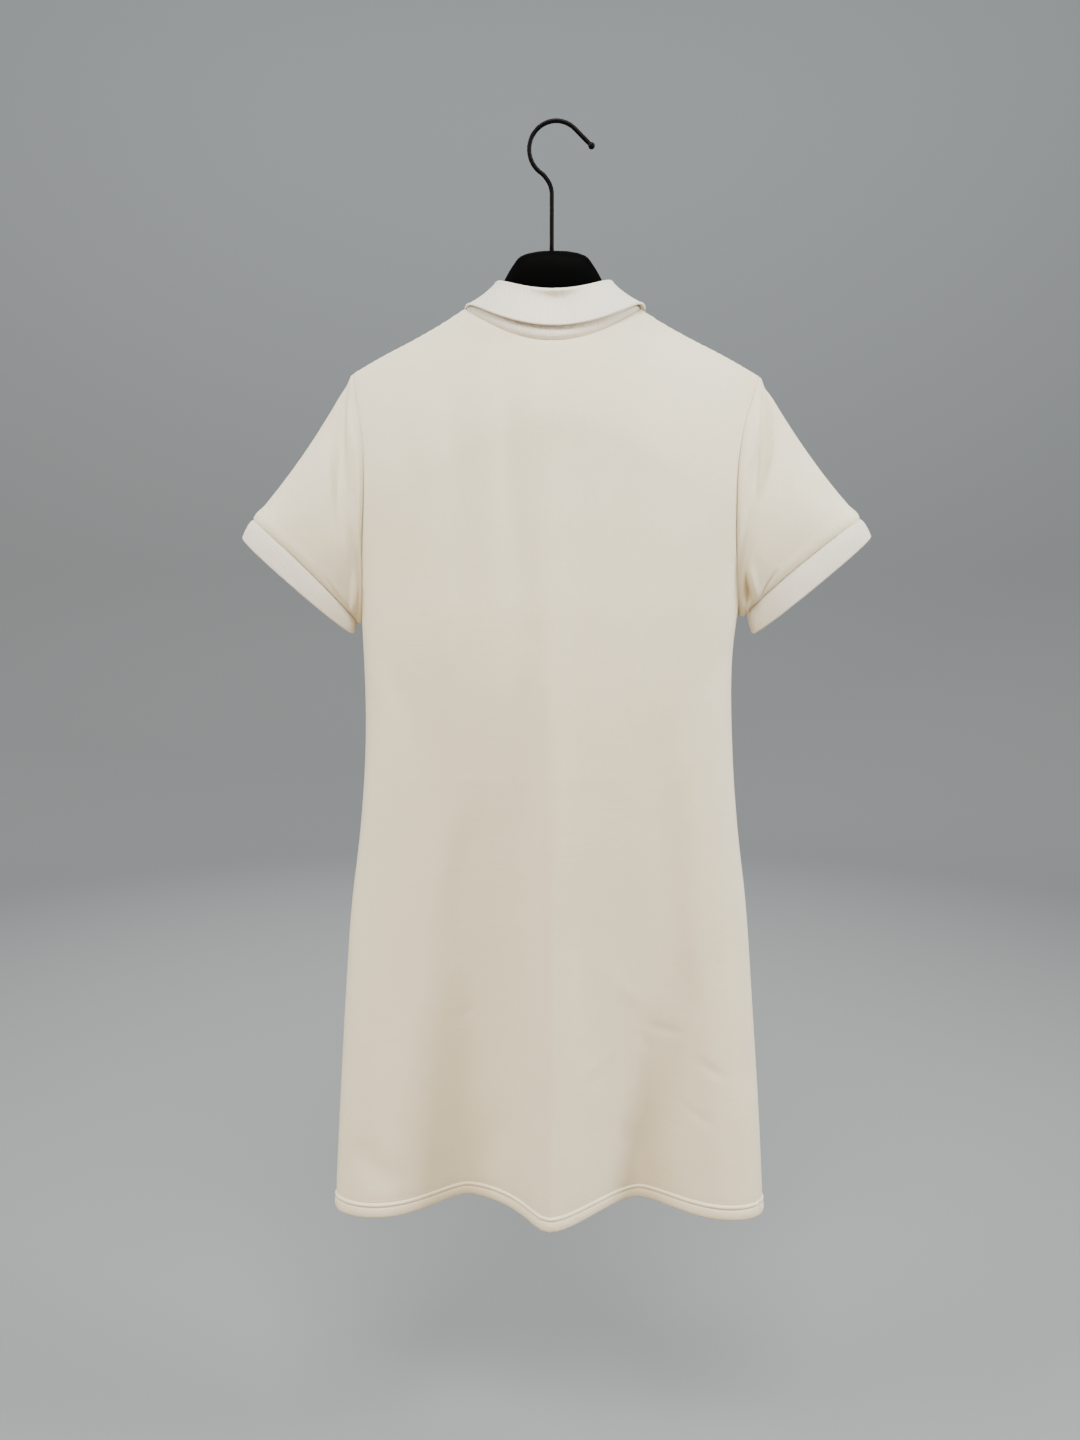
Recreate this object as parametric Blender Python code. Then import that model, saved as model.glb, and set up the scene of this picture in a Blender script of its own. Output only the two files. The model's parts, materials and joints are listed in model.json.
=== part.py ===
# A knitted polo dress on a black hanger, seen from its back in the photograph.
#
# Frame: millimetres in the tables, metres in the meshes. +Z is up, +X is the wearer's left,
# +Y is the garment's back. The origin is the inner crown of the hanger's hook, where a peg
# holds it, on the hanger's middle plane.
#
# Every cloth piece is a wall on a surface worked out from the sections and rows below.
# Pieces that are sewn together end 0.3 mm apart, with parallel edges.

import math

import bmesh
import bpy
import numpy as np

for thing in list(bpy.data.objects):
    bpy.data.objects.remove(thing, do_unlink=True)

MM = 0.001
SEAM_GAP = 0.3
WALL = 1.5
CUFF_WALL = 2.0
COLLAR_WALL = 1.6

# The body's sections from the hem up. left, right: its reach to the wearer's sides. back,
# front: its reach to +Y and -Y. turn: how far round to the back the right side seam lies,
# in degrees. Above the armpit the armholes cut the sections off.
SECTIONS = {
    "height": (-981, -896, -777, -684, -608, -531, -440, -415, -382, -340, -300, -250, -200, -140),
    "left": (206, 200.5, 192, 184, 174, 168, 168.5, 169.5, 173, 180, 184, 187, 189, 190),
    "right": (202, 196.5, 187, 179, 169.5, 163, 162.5, 165.5, 169.5, 177, 182, 187, 192, 193),
    "back": (50, 50, 52, 55, 59, 64, 70, 71, 70, 69, 67, 65, 62, 60),
    "front": (62, 60, 60, 60, 60, 60, 61, 62, 62, 61, 59, 57, 55, 54),
    "turn": (13, 12, 9, 6, 3, 0, 0, 0, 0, 0, 0, 0, 0, 0),
}
SQUARENESS = 2.3

# The folds that the skirt hangs in: place on the hem and where each fades out, its depth at
# the hem, and its reach towards the wearer's left and right.
BACK_FOLDS = {
    "name": ("left trough", "right trough", "middle ridge"),
    "x_hem": (82, -85, 3),
    "x_top": (60, -112, 0),
    "z_top": (-470, -480, -330),
    "depth": (-68, -67, 33),
    "reach_left": (58, 62, 24),
    "reach_right": (80, 63, 45),
}
FRONT_FOLDS = {
    "name": ("left trough", "right trough"),
    "x_hem": (66, -84),
    "x_top": (58, -70),
    "z_top": (-560, -540),
    "depth": (-26, -28),
    "reach_left": (44, 40),
    "reach_right": (40, 46),
}

# The shoulder line, as the height of the seam at each distance from the middle.
SHOULDER = {"x": (75, 95, 115, 150, 182), "z": (-152.5, -165, -176, -193.5, -211)}
SHOULDER_TIP = {"left": 175.0, "right": 181.5}
ROOF_HEIGHT = 130.0
ROOF_ROUND = 1.6

# The armholes: how far from the middle the seam lies at each height.
ARMHOLE_LEFT = {
    "z": (-421, -400, -382, -359, -339, -304, -275, -252, -228, -206),
    "x": (169.2, 166.5, 165, 164, 162.3, 160.6, 161.5, 165.2, 170.7, 175),
}
ARMHOLE_RIGHT = {
    "z": (-412, -391, -356, -322, -295, -270, -250, -231, -211),
    "x": (165.3, 162.8, 159.6, 158.6, 159.3, 162.6, 167.2, 174, 181.5),
}
ARMPIT = {"left": -421.0, "right": -412.0}
HEM = -981.0

# The neckline, the band on it, the collar's fold and its free edge, as half widths and the
# drops from the side of the neck to the middle of the back and of the front.
NECK_MIDDLE = -1.5
NECK = {"half": 76.0, "side": -153.5, "back_drop": 35.5, "front_drop": 72.0}
BAND_TOP = {"half": 65.0, "side": -149.8, "back_drop": 27.7, "front_drop": 64.0,
            "back": 44.2, "front": 44.5, "middle": -1.8}
FOLD = {"half": 49.3, "side": -132.5, "back_drop": 14.0, "front_drop": 62.0,
        "back": 33.0, "front": 35.0, "middle": -2.2}
FALL = {"half": 78.5, "side": -148.4, "back_drop": 29.6, "front_drop": 0.0,
        "back": 50.5, "front": 50.5, "middle": -3.0}
COLLAR_POINT = {"x": 50.0, "z": -250.0}
COLLAR_OPENING = 3.2
FOLD_RADIUS = 1.7
LEAF_CLEARANCE = 5.0
BAND_WALL = (1.5, 2.5, 2.7, 2.0)

# The sleeves: where each cuff's seam and free edge lie at the top and under the arm, as
# distance from the middle and height, and how far to the back and front they reach.
CUFFS = {
    "left": {"seam_top": (266.0, -333.0), "seam_under": (180.5, -417.5),
             "edge_top": (275.5, -349.5), "edge_under": (184.0, -433.0)},
    "right": {"seam_top": (272.0, -333.0), "seam_under": (178.5, -410.0),
              "edge_top": (281.5, -349.0), "edge_under": (186.0, -432.0)},
}
CUFF_DEPTH = 27.0
CUFF_BOW = 4.0
CUFF_SQUARENESS = 0.85
SLEEVE_ROWS = (0.0, 0.07, 0.16, 0.28, 0.42, 0.58, 0.74, 0.88, 1.0)

PLACKET = {"half": 15.0, "slot_row": 0.25, "below": 0.3, "wall": 1.6}
BUTTON = {"radius": 5.5, "height": 2.4, "count": 3, "first": 14.0, "pitch": 52.0}

# The hanger's body: the line of its top and of its underside, and half its thickness.
HANGER = {
    "x": (0, 16, 25, 31, 44, 52, 60, 68, 75, 95, 115, 150, 170),
    "top": (-104.4, -106, -108.6, -112.2, -135.2, -148, -155, -160, -163, -169.8, -179, -196, -207),
    "foot": (-152, -153, -155, -157, -163, -167, -172, -177, -182, -194, -207, -226, -234),
    "half": (11, 11, 10.5, 9.5, 7.2, 7.2, 8, 9, 10, 14, 16, 16, 15),
}
HANGER_CLEARANCE = 1.4

# The hook: a round bend over the peg, a straight lead-in with a ball, and the stem.
HOOK = {"radius": 23.0, "wire": 1.9, "middle": (-3.6, -20.8), "start": -54.0, "end": 136.0,
        "lead": 17.0, "ball": 2.9, "stem_top": -57.0, "stem_foot": -128.0, "bore": 2.25}

BACK_COLUMNS = 32
FRONT_COLUMNS = 24
SKIRT_ROWS = 12
BACK_NECK_COLUMN = 0.375
FRONT_NECK_COLUMN = 10 / 24
SLOT_STATION = 0.042
YOKE_ROWS = (0.0, 0.12, 0.25, 0.40, 0.55, 0.69, 0.81, 0.90, 0.96, 1.0)


def smooth(knots, values, where):
    """Values between the knots on a smooth curve through them, for rising knots."""
    knots = np.asarray(knots, float)
    values = np.asarray(values, float)
    where = np.clip(np.asarray(where, float), knots[0], knots[-1])
    slopes = np.gradient(values, knots)
    i = np.clip(np.searchsorted(knots, where, side="right") - 1, 0, len(knots) - 2)
    step = knots[i + 1] - knots[i]
    t = (where - knots[i]) / step
    rise = values[i + 1] - values[i]
    lead = slopes[i] * step - rise
    trail = slopes[i + 1] * step - rise
    return values[i] + rise * t + t * (1 - t) * (lead * (1 - t) - trail * t)


def unit(vectors):
    """The same vectors with length one."""
    length = np.linalg.norm(vectors, axis=-1, keepdims=True)
    return vectors / np.maximum(length, 1e-9)


def section(column, z):
    """One column of the body's sections at heights z."""
    return smooth(SECTIONS["height"], SECTIONS[column], z)


def shoulder_line(x):
    """Height of the shoulder seam, carried on as a round crown between the neck points."""
    x = np.abs(x)
    inner = SHOULDER["x"][0]
    slope = (SHOULDER["z"][1] - SHOULDER["z"][0]) / (SHOULDER["x"][1] - inner)
    crown = SHOULDER["z"][0] - slope * (inner * inner - x * x) / (2 * inner)
    return np.where(x < inner, crown, smooth(SHOULDER["x"], SHOULDER["z"], x))


def roof(x, z):
    """From 0 on the shoulder line to 1 well below it: how the cloth falls off the hanger."""
    down = np.clip((shoulder_line(x) - z) / ROOF_HEIGHT, 0, 1)
    return (1 - (1 - down) ** ROOF_ROUND) ** (1 / ROOF_ROUND)


def fold_depth(folds, x, z):
    """How far the folds push the cloth out (positive) or in."""
    total = np.zeros(np.broadcast(x, z).shape)
    for i in range(len(folds["name"])):
        down = np.clip((folds["z_top"][i] - z) / (folds["z_top"][i] - HEM), 0, 1)
        middle = folds["x_top"][i] + (folds["x_hem"][i] - folds["x_top"][i]) * down
        off = x - middle
        reach = np.where(off > 0, folds["reach_left"][i], folds["reach_right"][i])
        reach = reach * (1.25 - 0.25 * down)
        total = total + folds["depth"][i] * down**1.5 * np.exp(-np.abs(off / reach) ** 1.6)
    return total


def depth_at(x, z, side):
    """Y of the cloth at x and z on the back (side 1) or the front (side -1)."""
    reach = np.where(x > 0, section("left", z), section("right", z))
    part = np.clip(np.abs(x) / reach, 0, 1)
    lift = (1 - part**SQUARENESS) ** (1 / SQUARENESS)
    out = section("back" if side > 0 else "front", z) * lift * roof(x, z)
    folds = BACK_FOLDS if side > 0 else FRONT_FOLDS
    return side * (out + fold_depth(folds, x, z) * lift)


def neckline(x, side):
    """Height of the neckline at x, on the back or the front."""
    part = np.clip((x - NECK_MIDDLE) / NECK["half"], -1, 1)
    drop = NECK["back_drop"] if side > 0 else NECK["front_drop"]
    return NECK["side"] - drop * (1 - part * part)


def armhole_x(part, hand):
    """Distance of the armhole seam from the middle, part of the way from armpit to tip."""
    line = ARMHOLE_LEFT if hand == "left" else ARMHOLE_RIGHT
    low = line["z"][0]
    high = line["z"][-1]
    return smooth(line["z"], line["x"], low + (high - low) * part)


def spread(s, angle):
    """Where a column at s (-1 to 1) lies on a section that starts at that angle."""
    power = 2 / SQUARENESS
    round_to = np.radians(angle + (90 - angle) * (1 - np.abs(s)))
    return np.sign(s) * (np.cos(round_to) / np.cos(np.radians(angle))) ** power


def column_stations(count, slot):
    """The columns of a panel from the wearer's right to left, with the neck points on two."""
    stations = list(np.linspace(-1, 1, count + 1))
    if slot:
        stations += [-slot, slot]
    return np.array(sorted(stations))


def panel(side, count, slot=0.0):
    """A panel's points by row, from the hem up, and by column, and its slot's columns."""
    s = column_stations(count, slot)
    neck_column = BACK_NECK_COLUMN if side > 0 else FRONT_NECK_COLUMN
    pit = (ARMPIT["left"] + ARMPIT["right"]) / 2 + s * (ARMPIT["left"] - ARMPIT["right"]) / 2
    rows = []
    for i in range(SKIRT_ROWS):
        z = HEM + (pit - HEM) * i / SKIRT_ROWS
        turn = np.where(s < 0, section("turn", z), 0.0)
        rows.append(skirt_row(s, z, turn, side))
    for part in YOKE_ROWS:
        rows.append(yoke_row(s, part, pit, neck_column, side))
    return np.array(rows), s


def skirt_row(s, z, turn, side):
    """A row below the armpit, round the section from one side seam to the other."""
    power = 2 / SQUARENESS
    angle = np.radians(90 * (1 - np.abs(s)) + side * turn * np.abs(s))
    reach = np.where(s > 0, section("left", z), section("right", z))
    x = np.sign(s) * reach * np.cos(angle) ** power
    lift = np.abs(np.sin(angle)) ** power * np.sign(np.sin(angle))
    facing = side * np.sign(lift + 1e-12)
    back = section("back", z) + fold_depth(BACK_FOLDS, x, z)
    front = section("front", z) + fold_depth(FRONT_FOLDS, x, z)
    y = side * lift * np.where(facing > 0, back, front)
    return np.stack([x, y, z], axis=-1)


def yoke_row(s, part, pit, neck_column, side):
    """A row from the armpits (part 0) to the shoulders and neckline (part 1)."""
    left = armhole_x(part, "left")
    right = armhole_x(part, "right")
    reach = np.where(s > 0, left, right)
    tip = np.where(s > 0, SHOULDER_TIP["left"], SHOULDER_TIP["right"])
    neck_x = np.abs(NECK_MIDDLE + np.sign(s) * NECK["half"])
    at_pit = np.abs(spread(s, 0.0))
    shoulder = np.abs(spread(s, 28.0))
    neck_here = spread(neck_column, 28.0)
    neck_part = neck_x / tip
    inside = neck_part * np.sin(np.pi / 2 * np.minimum(np.abs(s) / neck_column, 1))
    outside = neck_part + (shoulder - neck_here) * (1 - neck_part) / (1 - neck_here)
    at_top = np.where(np.abs(s) <= neck_column + 1e-9, inside, outside)
    share = at_pit + (at_top - at_pit) * part
    top_x = np.sign(s) * tip * at_top
    in_neck = np.abs(s) < neck_column + 1e-9
    top_z = np.where(in_neck, neckline(top_x, side), shoulder_line(top_x))
    x = np.sign(s) * reach * share
    z = pit + (top_z - pit) * part
    return np.stack([x, depth_at(x, z, side), z], axis=-1)


def grid_normals(points, closed=False):
    """Normals of a grid of points, from its differences along both directions."""
    along = np.gradient(points, axis=0)
    if closed:
        across = np.roll(points, -1, axis=1) - np.roll(points, 1, axis=1)
    else:
        across = np.gradient(points, axis=1)
    return unit(np.cross(across, along))


def wall(name, points, normals, thickness, material, closed=False, skip=()):
    """A closed wall round a grid of points. skip holds the (row, column) cells left open."""
    rows, columns = points.shape[:2]
    half = np.broadcast_to(np.asarray(thickness, float) / 2, (rows, columns))[..., None]
    sides = (points + normals * half, points - normals * half)
    mesh = bmesh.new()
    made = {}

    def vertex(face, i, j):
        key = (face, i, j % columns)
        if key not in made:
            made[key] = mesh.verts.new(sides[face][i, j % columns] * MM)
        return made[key]

    cells = []
    for i in range(rows - 1):
        for j in range(columns if closed else columns - 1):
            if (i, j) not in skip:
                cells.append((i, j))
    border = {}
    for i, j in cells:
        corners = ((i, j), (i, j + 1), (i + 1, j + 1), (i + 1, j))
        mesh.faces.new([vertex(0, *corner) for corner in corners])
        mesh.faces.new([vertex(1, *corner) for corner in reversed(corners)])
        for k in range(4):
            start = (corners[k][0], corners[k][1] % columns)
            end = (corners[(k + 1) % 4][0], corners[(k + 1) % 4][1] % columns)
            if (end, start) in border:
                del border[(end, start)]
            else:
                border[(start, end)] = True
    for start, end in border:
        mesh.faces.new([vertex(0, *end), vertex(0, *start), vertex(1, *start), vertex(1, *end)])
    thing = finish(name, mesh, material)
    split = thing.modifiers.new("split twisted faces", "TRIANGULATE")
    split.quad_method = "BEAUTY"
    return thing


def mitre(points, first, second, towards, closed=False):
    """For a seam between two pieces: its shared normals, and the step across it.

    first and second are the pieces' own normals along the seam. The step is square to the
    seam and to the shared normals, so that the two rims stay parallel.
    """
    normals = unit(first + second)
    if closed:
        along = unit(np.roll(points, -1, axis=0) - np.roll(points, 1, axis=0))
    else:
        along = unit(np.gradient(points, axis=0))
    normals = unit(normals - along * np.sum(normals * along, axis=1, keepdims=True))
    step = unit(np.cross(along, normals))
    step = step * np.sign(np.sum(step * towards, axis=1, keepdims=True))
    return normals, step * SEAM_GAP


def finish(name, mesh, material):
    """Turns a bmesh into a named object with outward faces and its material."""
    bmesh.ops.recalc_face_normals(mesh, faces=mesh.faces[:])
    data = bpy.data.meshes.new(name)
    mesh.to_mesh(data)
    mesh.free()
    for face in data.polygons:
        face.use_smooth = True
    data.materials.append(material)
    thing = bpy.data.objects.new(name, data)
    bpy.context.collection.objects.link(thing)
    return thing


def make_material(name, colour, roughness, metallic=0.0):
    """A Principled BSDF material with one colour."""
    material = bpy.data.materials.new(name)
    material.use_nodes = True
    shader = material.node_tree.nodes["Principled BSDF"]
    shader.inputs["Base Color"].default_value = (*colour, 1.0)
    shader.inputs["Roughness"].default_value = roughness
    shader.inputs["Metallic"].default_value = metallic
    return material


def armhole_ring(back, front, hand):
    """The armhole's points from the armpit up the back and down the front."""
    column = -1 if hand == "left" else 0
    first = SKIRT_ROWS
    up = back[first:, column]
    down = front[first:, column][::-1]
    return np.concatenate([up, down[1:-1]])


def cuff_ring(hand, which, around):
    """A cuff's seam or edge as a ring, at angles from under the arm round by the back."""
    side = 1 if hand == "left" else -1
    top = np.array(CUFFS[hand][which + "_top"])
    under = np.array(CUFFS[hand][which + "_under"])
    middle = (top + under) / 2
    half = (top - under) / 2
    inward = unit(np.array([-half[1], half[0]]))
    bow = CUFF_BOW if which == "seam" else 0.0
    length = np.sign(np.cos(around)) * np.abs(np.cos(around)) ** CUFF_SQUARENESS
    x = middle[0] - half[0] * length + inward[0] * bow * np.sin(around) ** 2
    z = middle[1] - half[1] * length + inward[1] * bow * np.sin(around) ** 2
    y = CUFF_DEPTH * np.sign(np.sin(around)) * np.abs(np.sin(around)) ** CUFF_SQUARENESS
    return np.stack([side * x, y, z], axis=-1)


def ring_angles(ring):
    """The angle of each point of a ring by its share of the way round, 0 under the arm."""
    steps = np.linalg.norm(np.roll(ring, -1, axis=0) - ring, axis=1)
    travelled = np.concatenate([[0], np.cumsum(steps)[:-1]])
    top = len(ring) // 2
    up = travelled[:top] / travelled[top] * np.pi
    down = np.pi + (travelled[top:] - travelled[top]) / (steps.sum() - travelled[top]) * np.pi
    return np.concatenate([up, down])


def sleeve_rows(hand, armhole):
    """A sleeve's rings from the armhole to the cuff's seam."""
    side = 1 if hand == "left" else -1
    around = ring_angles(armhole)
    target = cuff_ring(hand, "seam", around)
    height = (1 - np.cos(around))[:, None] / 2
    bulge = np.sin(around)[:, None] * np.array([0.0, 9.0, 0.0])
    sag = height * np.array([-6.0 * side, 0.0, -6.0]) + (1 - height) * np.array([0.0, 0.0, -3.0])
    ridge = np.sin(around)[:, None] * np.array([0.0, 1.0, 0.0])
    middle = (armhole + target) / 2 + sag + bulge
    rows = []
    for part in SLEEVE_ROWS:
        lead = (1 - part) ** 2 * armhole + 2 * part * (1 - part) * middle + part**2 * target
        swell = 4.5 * math.exp(-((part - 0.07) / 0.05) ** 2)
        swell -= 7.0 * math.exp(-((part - 0.22) / 0.09) ** 2)
        rows.append(lead + ridge * swell * height * min(1.0, part * 30))
    return np.array(rows)


def sleeve_normals(rows, hand):
    """Outward normals of a sleeve's or a cuff's rings."""
    normals = grid_normals(rows, closed=True)
    return normals if hand == "left" else -normals


def sleeve_and_cuff(hand, back, front, armhole_normals, knit, rib_knit):
    """One sleeve, from the armhole to its cuff, and the rib cuff sewn to its end."""
    armhole = armhole_ring(back, front, hand)
    rows = sleeve_rows(hand, armhole)
    own = sleeve_normals(rows, hand)
    around = ring_angles(armhole)
    seam = cuff_ring(hand, "seam", around)
    edge = cuff_ring(hand, "edge", around)
    band = np.array([seam, seam + (edge - seam) * 0.5, edge])
    band_own = sleeve_normals(band, hand)
    first_n, first_step = mitre(armhole, armhole_normals, armhole_normals, rows[1] - rows[0], True)
    last_n, last_step = mitre(seam, own[-1], band_own[0], edge - seam, True)
    rows[0] = rows[0] + first_step
    own[0] = first_n
    own[-1] = last_n
    wall("sleeve_" + hand, rows, own, WALL, knit, closed=True)
    band[0] = band[0] + last_step
    band[1] = band[1] + band_own[1] * 0.5
    band_own[0] = last_n
    wall("cuff_" + hand, band, band_own, CUFF_WALL, rib_knit, closed=True)


def share_seam_normals(back, front):
    """Panel normals, with one normal for the pieces that meet at each seam point."""
    back_normals = -grid_normals(back)
    front_normals = grid_normals(front)
    if back_normals[2, back.shape[1] // 2, 1] < 0:
        back_normals = -back_normals
    if front_normals[2, front.shape[1] // 2, 1] > 0:
        front_normals = -front_normals
    shared = {}
    for hand, column in (("left", -1), ("right", 0)):
        skirt = unit(back_normals[:SKIRT_ROWS, column] + front_normals[:SKIRT_ROWS, column])
        skirt = unit(skirt * np.array([1.0, 1.0, 0.3]))
        back_normals[:SKIRT_ROWS, column] = skirt
        front_normals[:SKIRT_ROWS, column] = skirt
        side = 1 if hand == "left" else -1
        armhole = armhole_ring(back, front, hand)
        rows = sleeve_rows(hand, armhole)
        ring_normals = grid_normals(rows, closed=True)[0]
        if hand == "right":
            ring_normals = -ring_normals
        top = len(YOKE_ROWS) - 1
        panels = np.concatenate([back_normals[SKIRT_ROWS:, column],
                                 front_normals[SKIRT_ROWS:, column][::-1][1:-1]])
        panels[0] = unit(back_normals[SKIRT_ROWS, column] + front_normals[SKIRT_ROWS, column])
        panels[top] = np.array([0.0, 0.0, 1.0])
        ring_normals[0] = np.array([0.0, 0.0, -1.0])
        ring_normals[top] = unit(np.array([side * 0.8, 0.0, 0.6]))
        both, _ = mitre(armhole, panels, ring_normals, rows[1] - rows[0], True)
        shared[hand] = both
        back_normals[SKIRT_ROWS:, column] = both[: top + 1]
        front_normals[SKIRT_ROWS:, column] = np.concatenate([both[:1], both[top:][::-1]])
    for normals, points in ((back_normals, back), (front_normals, front)):
        on_seam = np.abs(points[-1, :, 1]) < 1.0
        inner = on_seam.copy()
        inner[0] = False
        inner[-1] = False
        slope = np.gradient(points[-1, :, 2]) / np.gradient(points[-1, :, 0])
        up = unit(np.stack([-slope, np.zeros_like(slope), np.ones_like(slope)], axis=-1))
        normals[-1][inner] = up[inner]
    return back_normals, front_normals, shared


def split_seams(back, front):
    """Moves the panels' edges apart by the seam gap at the sides and shoulders."""
    half = np.array([0.0, SEAM_GAP / 2, 0.0])
    for points, way in ((back, 1), (front, -1)):
        for column in (0, -1):
            points[: SKIRT_ROWS + 1, column] += way * half
        on_seam = np.abs(points[-1, :, 1]) < 1.0
        points[-1][on_seam] += way * half


def neck_path(back, front, back_normals, front_normals):
    """The neckline from the centre front, round by the back, on the panels' own points."""
    points = []
    normals = []
    half = COLLAR_OPENING / 2
    front_neck = neck_columns(front)
    back_neck = neck_columns(back)
    right = [j for j in front_neck if front[-1, j, 0] < 0][::-1]
    left = [j for j in front_neck if front[-1, j, 0] > 0][::-1]
    right = [j for j in right if front[-1, j, 0] < -half]
    left = [j for j in left if front[-1, j, 0] > half]
    lip = np.array([half, 0.0, float(neckline(half, -1))])
    lip[1] = depth_at(lip[0], lip[2], -1)
    points.append(lip * np.array([-1.0, 1.0, 1.0]))
    normals.append(front_normals[-1, right[0]])
    for j in right[:-1]:
        points.append(front[-1, j])
        normals.append(front_normals[-1, j])
    for j in back_neck:
        points.append(back[-1, j])
        normals.append(back_normals[-1, j])
    for j in left[1:]:
        points.append(front[-1, j])
        normals.append(front_normals[-1, j])
    points.append(lip)
    normals.append(front_normals[-1, left[-1]])
    return np.array(points), np.array(normals)


def neck_columns(points):
    """The columns of a panel that end on the neckline, its two neck points included."""
    edge = points[-1]
    inside = np.abs(edge[:, 0] - NECK_MIDDLE) < NECK["half"] + 0.5
    return [j for j in range(len(edge)) if inside[j]]


def ring_at(ring, path):
    """The points of one of the collar's rings, in step with the points of the neckline."""
    sine = np.clip((path[:, 0] - NECK_MIDDLE) / NECK["half"], -1, 1)
    cosine = np.sqrt(1 - sine * sine)
    is_back = path[:, 1] > 0
    drop = np.where(is_back, ring["back_drop"], ring["front_drop"])
    reach = np.where(is_back, ring["back"], -ring["front"])
    x = ring["middle"] + ring["half"] * sine
    return np.stack([x, reach * cosine, ring["side"] - drop * cosine**2], axis=-1)


def front_share(path):
    """How far round to the centre front each point of the neckline is: 0 behind, 1 in front."""
    sine = np.clip((path[:, 0] - NECK_MIDDLE) / NECK["half"], -1, 1)
    return np.where(path[:, 1] > 0, 0.0, np.arccos(np.abs(sine)) / (np.pi / 2))


def fall_edge(path):
    """The collar's free edge: level behind, and out to the collar points in front."""
    edge = ring_at(FALL, path)
    share = front_share(path)
    side = np.sign(path[:, 0])
    reach = FALL["half"] + (COLLAR_POINT["x"] - FALL["half"]) * share**2
    x = side * reach + FALL["middle"] * (1 - share)
    z = FALL["side"] + (COLLAR_POINT["z"] - FALL["side"]) * share**1.15
    y = depth_at(x, z, -1) - LEAF_CLEARANCE
    leaf = np.stack([x, y, z], axis=-1)
    return np.where(share[:, None] > 0, leaf, edge)


def neck_band(path, normals, material):
    """The raised band on the neckline, and the normals along its top."""
    top = ring_at(BAND_TOP, path)
    rows = np.array([path + (top - path) * share for share in (0.0, 0.35, 0.7, 1.0)])
    band_normals = grid_normals(rows)
    if np.sum(band_normals[1] * normals) < 0:
        band_normals = -band_normals
    shared, step = mitre(path, normals, normals, top - path)
    rows[0] = path + step
    band_normals[0] = shared
    thickness = np.array(BAND_WALL)[:, None]
    wall("neck_band", rows, band_normals, thickness, material)
    return band_normals[-1]


def collar(path, band_normals, material):
    """The folded collar: a stand up from the band, a round fold and the fall over it."""
    base = ring_at(BAND_TOP, path)
    fold = ring_at(FOLD, path)
    edge = fall_edge(path)
    share = front_share(path)[:, None]
    outward = unit((fold - base) * np.array([-1.0, -1.0, 0.0]) + np.array([0.0, 0.0, 1e-6]))
    up = np.array([0.0, 0.0, 1.0])
    inner = fold - outward * FOLD_RADIUS
    outer = fold + outward * FOLD_RADIUS
    shared, step = mitre(base, band_normals, band_normals, inner - base)
    rows = [base + step, (base + inner) / 2, inner, fold + up * FOLD_RADIUS, outer]
    sideways = np.abs(unit(outward)[:, :1]) ** 2 * (1 - share)
    hollow = -sideways * 9.0 * (outward * 0.62 + up * 0.78)
    crown = (1 - sideways) * (1 - share) * 3.0 * outward
    middle = (outer + edge) / 2 + hollow + crown
    clear = LEAF_CLEARANCE * np.clip(1 + share[:, 0], 0, 1.1)
    for t in (0.3, 0.6, 0.85, 1.0):
        row = (1 - t) ** 2 * outer + 2 * t * (1 - t) * middle + t * t * edge
        limit = depth_at(row[:, 0], row[:, 2], -1) - clear
        row[:, 1] = np.where(share[:, 0] > 0, np.minimum(row[:, 1], limit), row[:, 1])
        rows.append(row)
    rows = np.array(rows)
    normals = grid_normals(rows)
    if np.sum(normals[1] * band_normals) < 0:
        normals = -normals
    normals[0] = shared
    wall("collar", rows, normals, COLLAR_WALL, material)


def on_row(row, x):
    """The points of a panel's row at each x."""
    y = np.interp(x, row[:, 0], row[:, 1])
    z = np.interp(x, row[:, 0], row[:, 2])
    return np.stack([x, y, z], axis=-1)


def placket_strip(name, front, outward, half, below, material):
    """A placket strip along the front's slash, outside (outward 1) or inside (-1) it.

    It is made from the front panel's own rows, and ends a part of a row below the slash.
    """
    x = np.linspace(-half, half, 4)
    slash = SKIRT_ROWS + YOKE_ROWS.index(PLACKET["slot_row"])
    rows = [on_row(front[slash] + (front[slash - 1] - front[slash]) * below, x)]
    for row in front[slash:]:
        rows.append(on_row(row, x))
    rows[-1] = rows[-1] + (rows[-2] - rows[-1]) * 0.15
    rows = np.array(rows)
    normals = grid_normals(rows)
    if normals[0, 0, 1] > 0:
        normals = -normals
    step = WALL / 2 + SEAM_GAP + PLACKET["wall"] / 2
    rows = rows + normals * step * outward
    wall(name, rows, normals, PLACKET["wall"], material)


def lathe(name, profile, place, axis, material, steps=20):
    """A round piece: (radius, height) points turned round an axis through a place."""
    axis = unit(np.array(axis, float))
    across = unit(np.cross(axis, [1.0, 0.0, 0.0]))
    other = np.cross(axis, across)
    mesh = bmesh.new()
    rings = []
    for radius, height in profile:
        ring = []
        for k in range(steps):
            turn = 2 * math.pi * k / steps
            out = across * math.cos(turn) + other * math.sin(turn)
            ring.append(mesh.verts.new((np.array(place) + axis * height + out * radius) * MM))
        rings.append(ring)
    skin(mesh, rings)
    return finish(name, mesh, material)


def skin(mesh, rings):
    """Joins rings of vertices by faces and closes both ends."""
    steps = len(rings[0])
    for low, high in zip(rings, rings[1:]):
        for k in range(steps):
            n = (k + 1) % steps
            mesh.faces.new([low[k], low[n], high[n], high[k]])
    mesh.faces.new(rings[0][::-1])
    mesh.faces.new(rings[-1])


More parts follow.
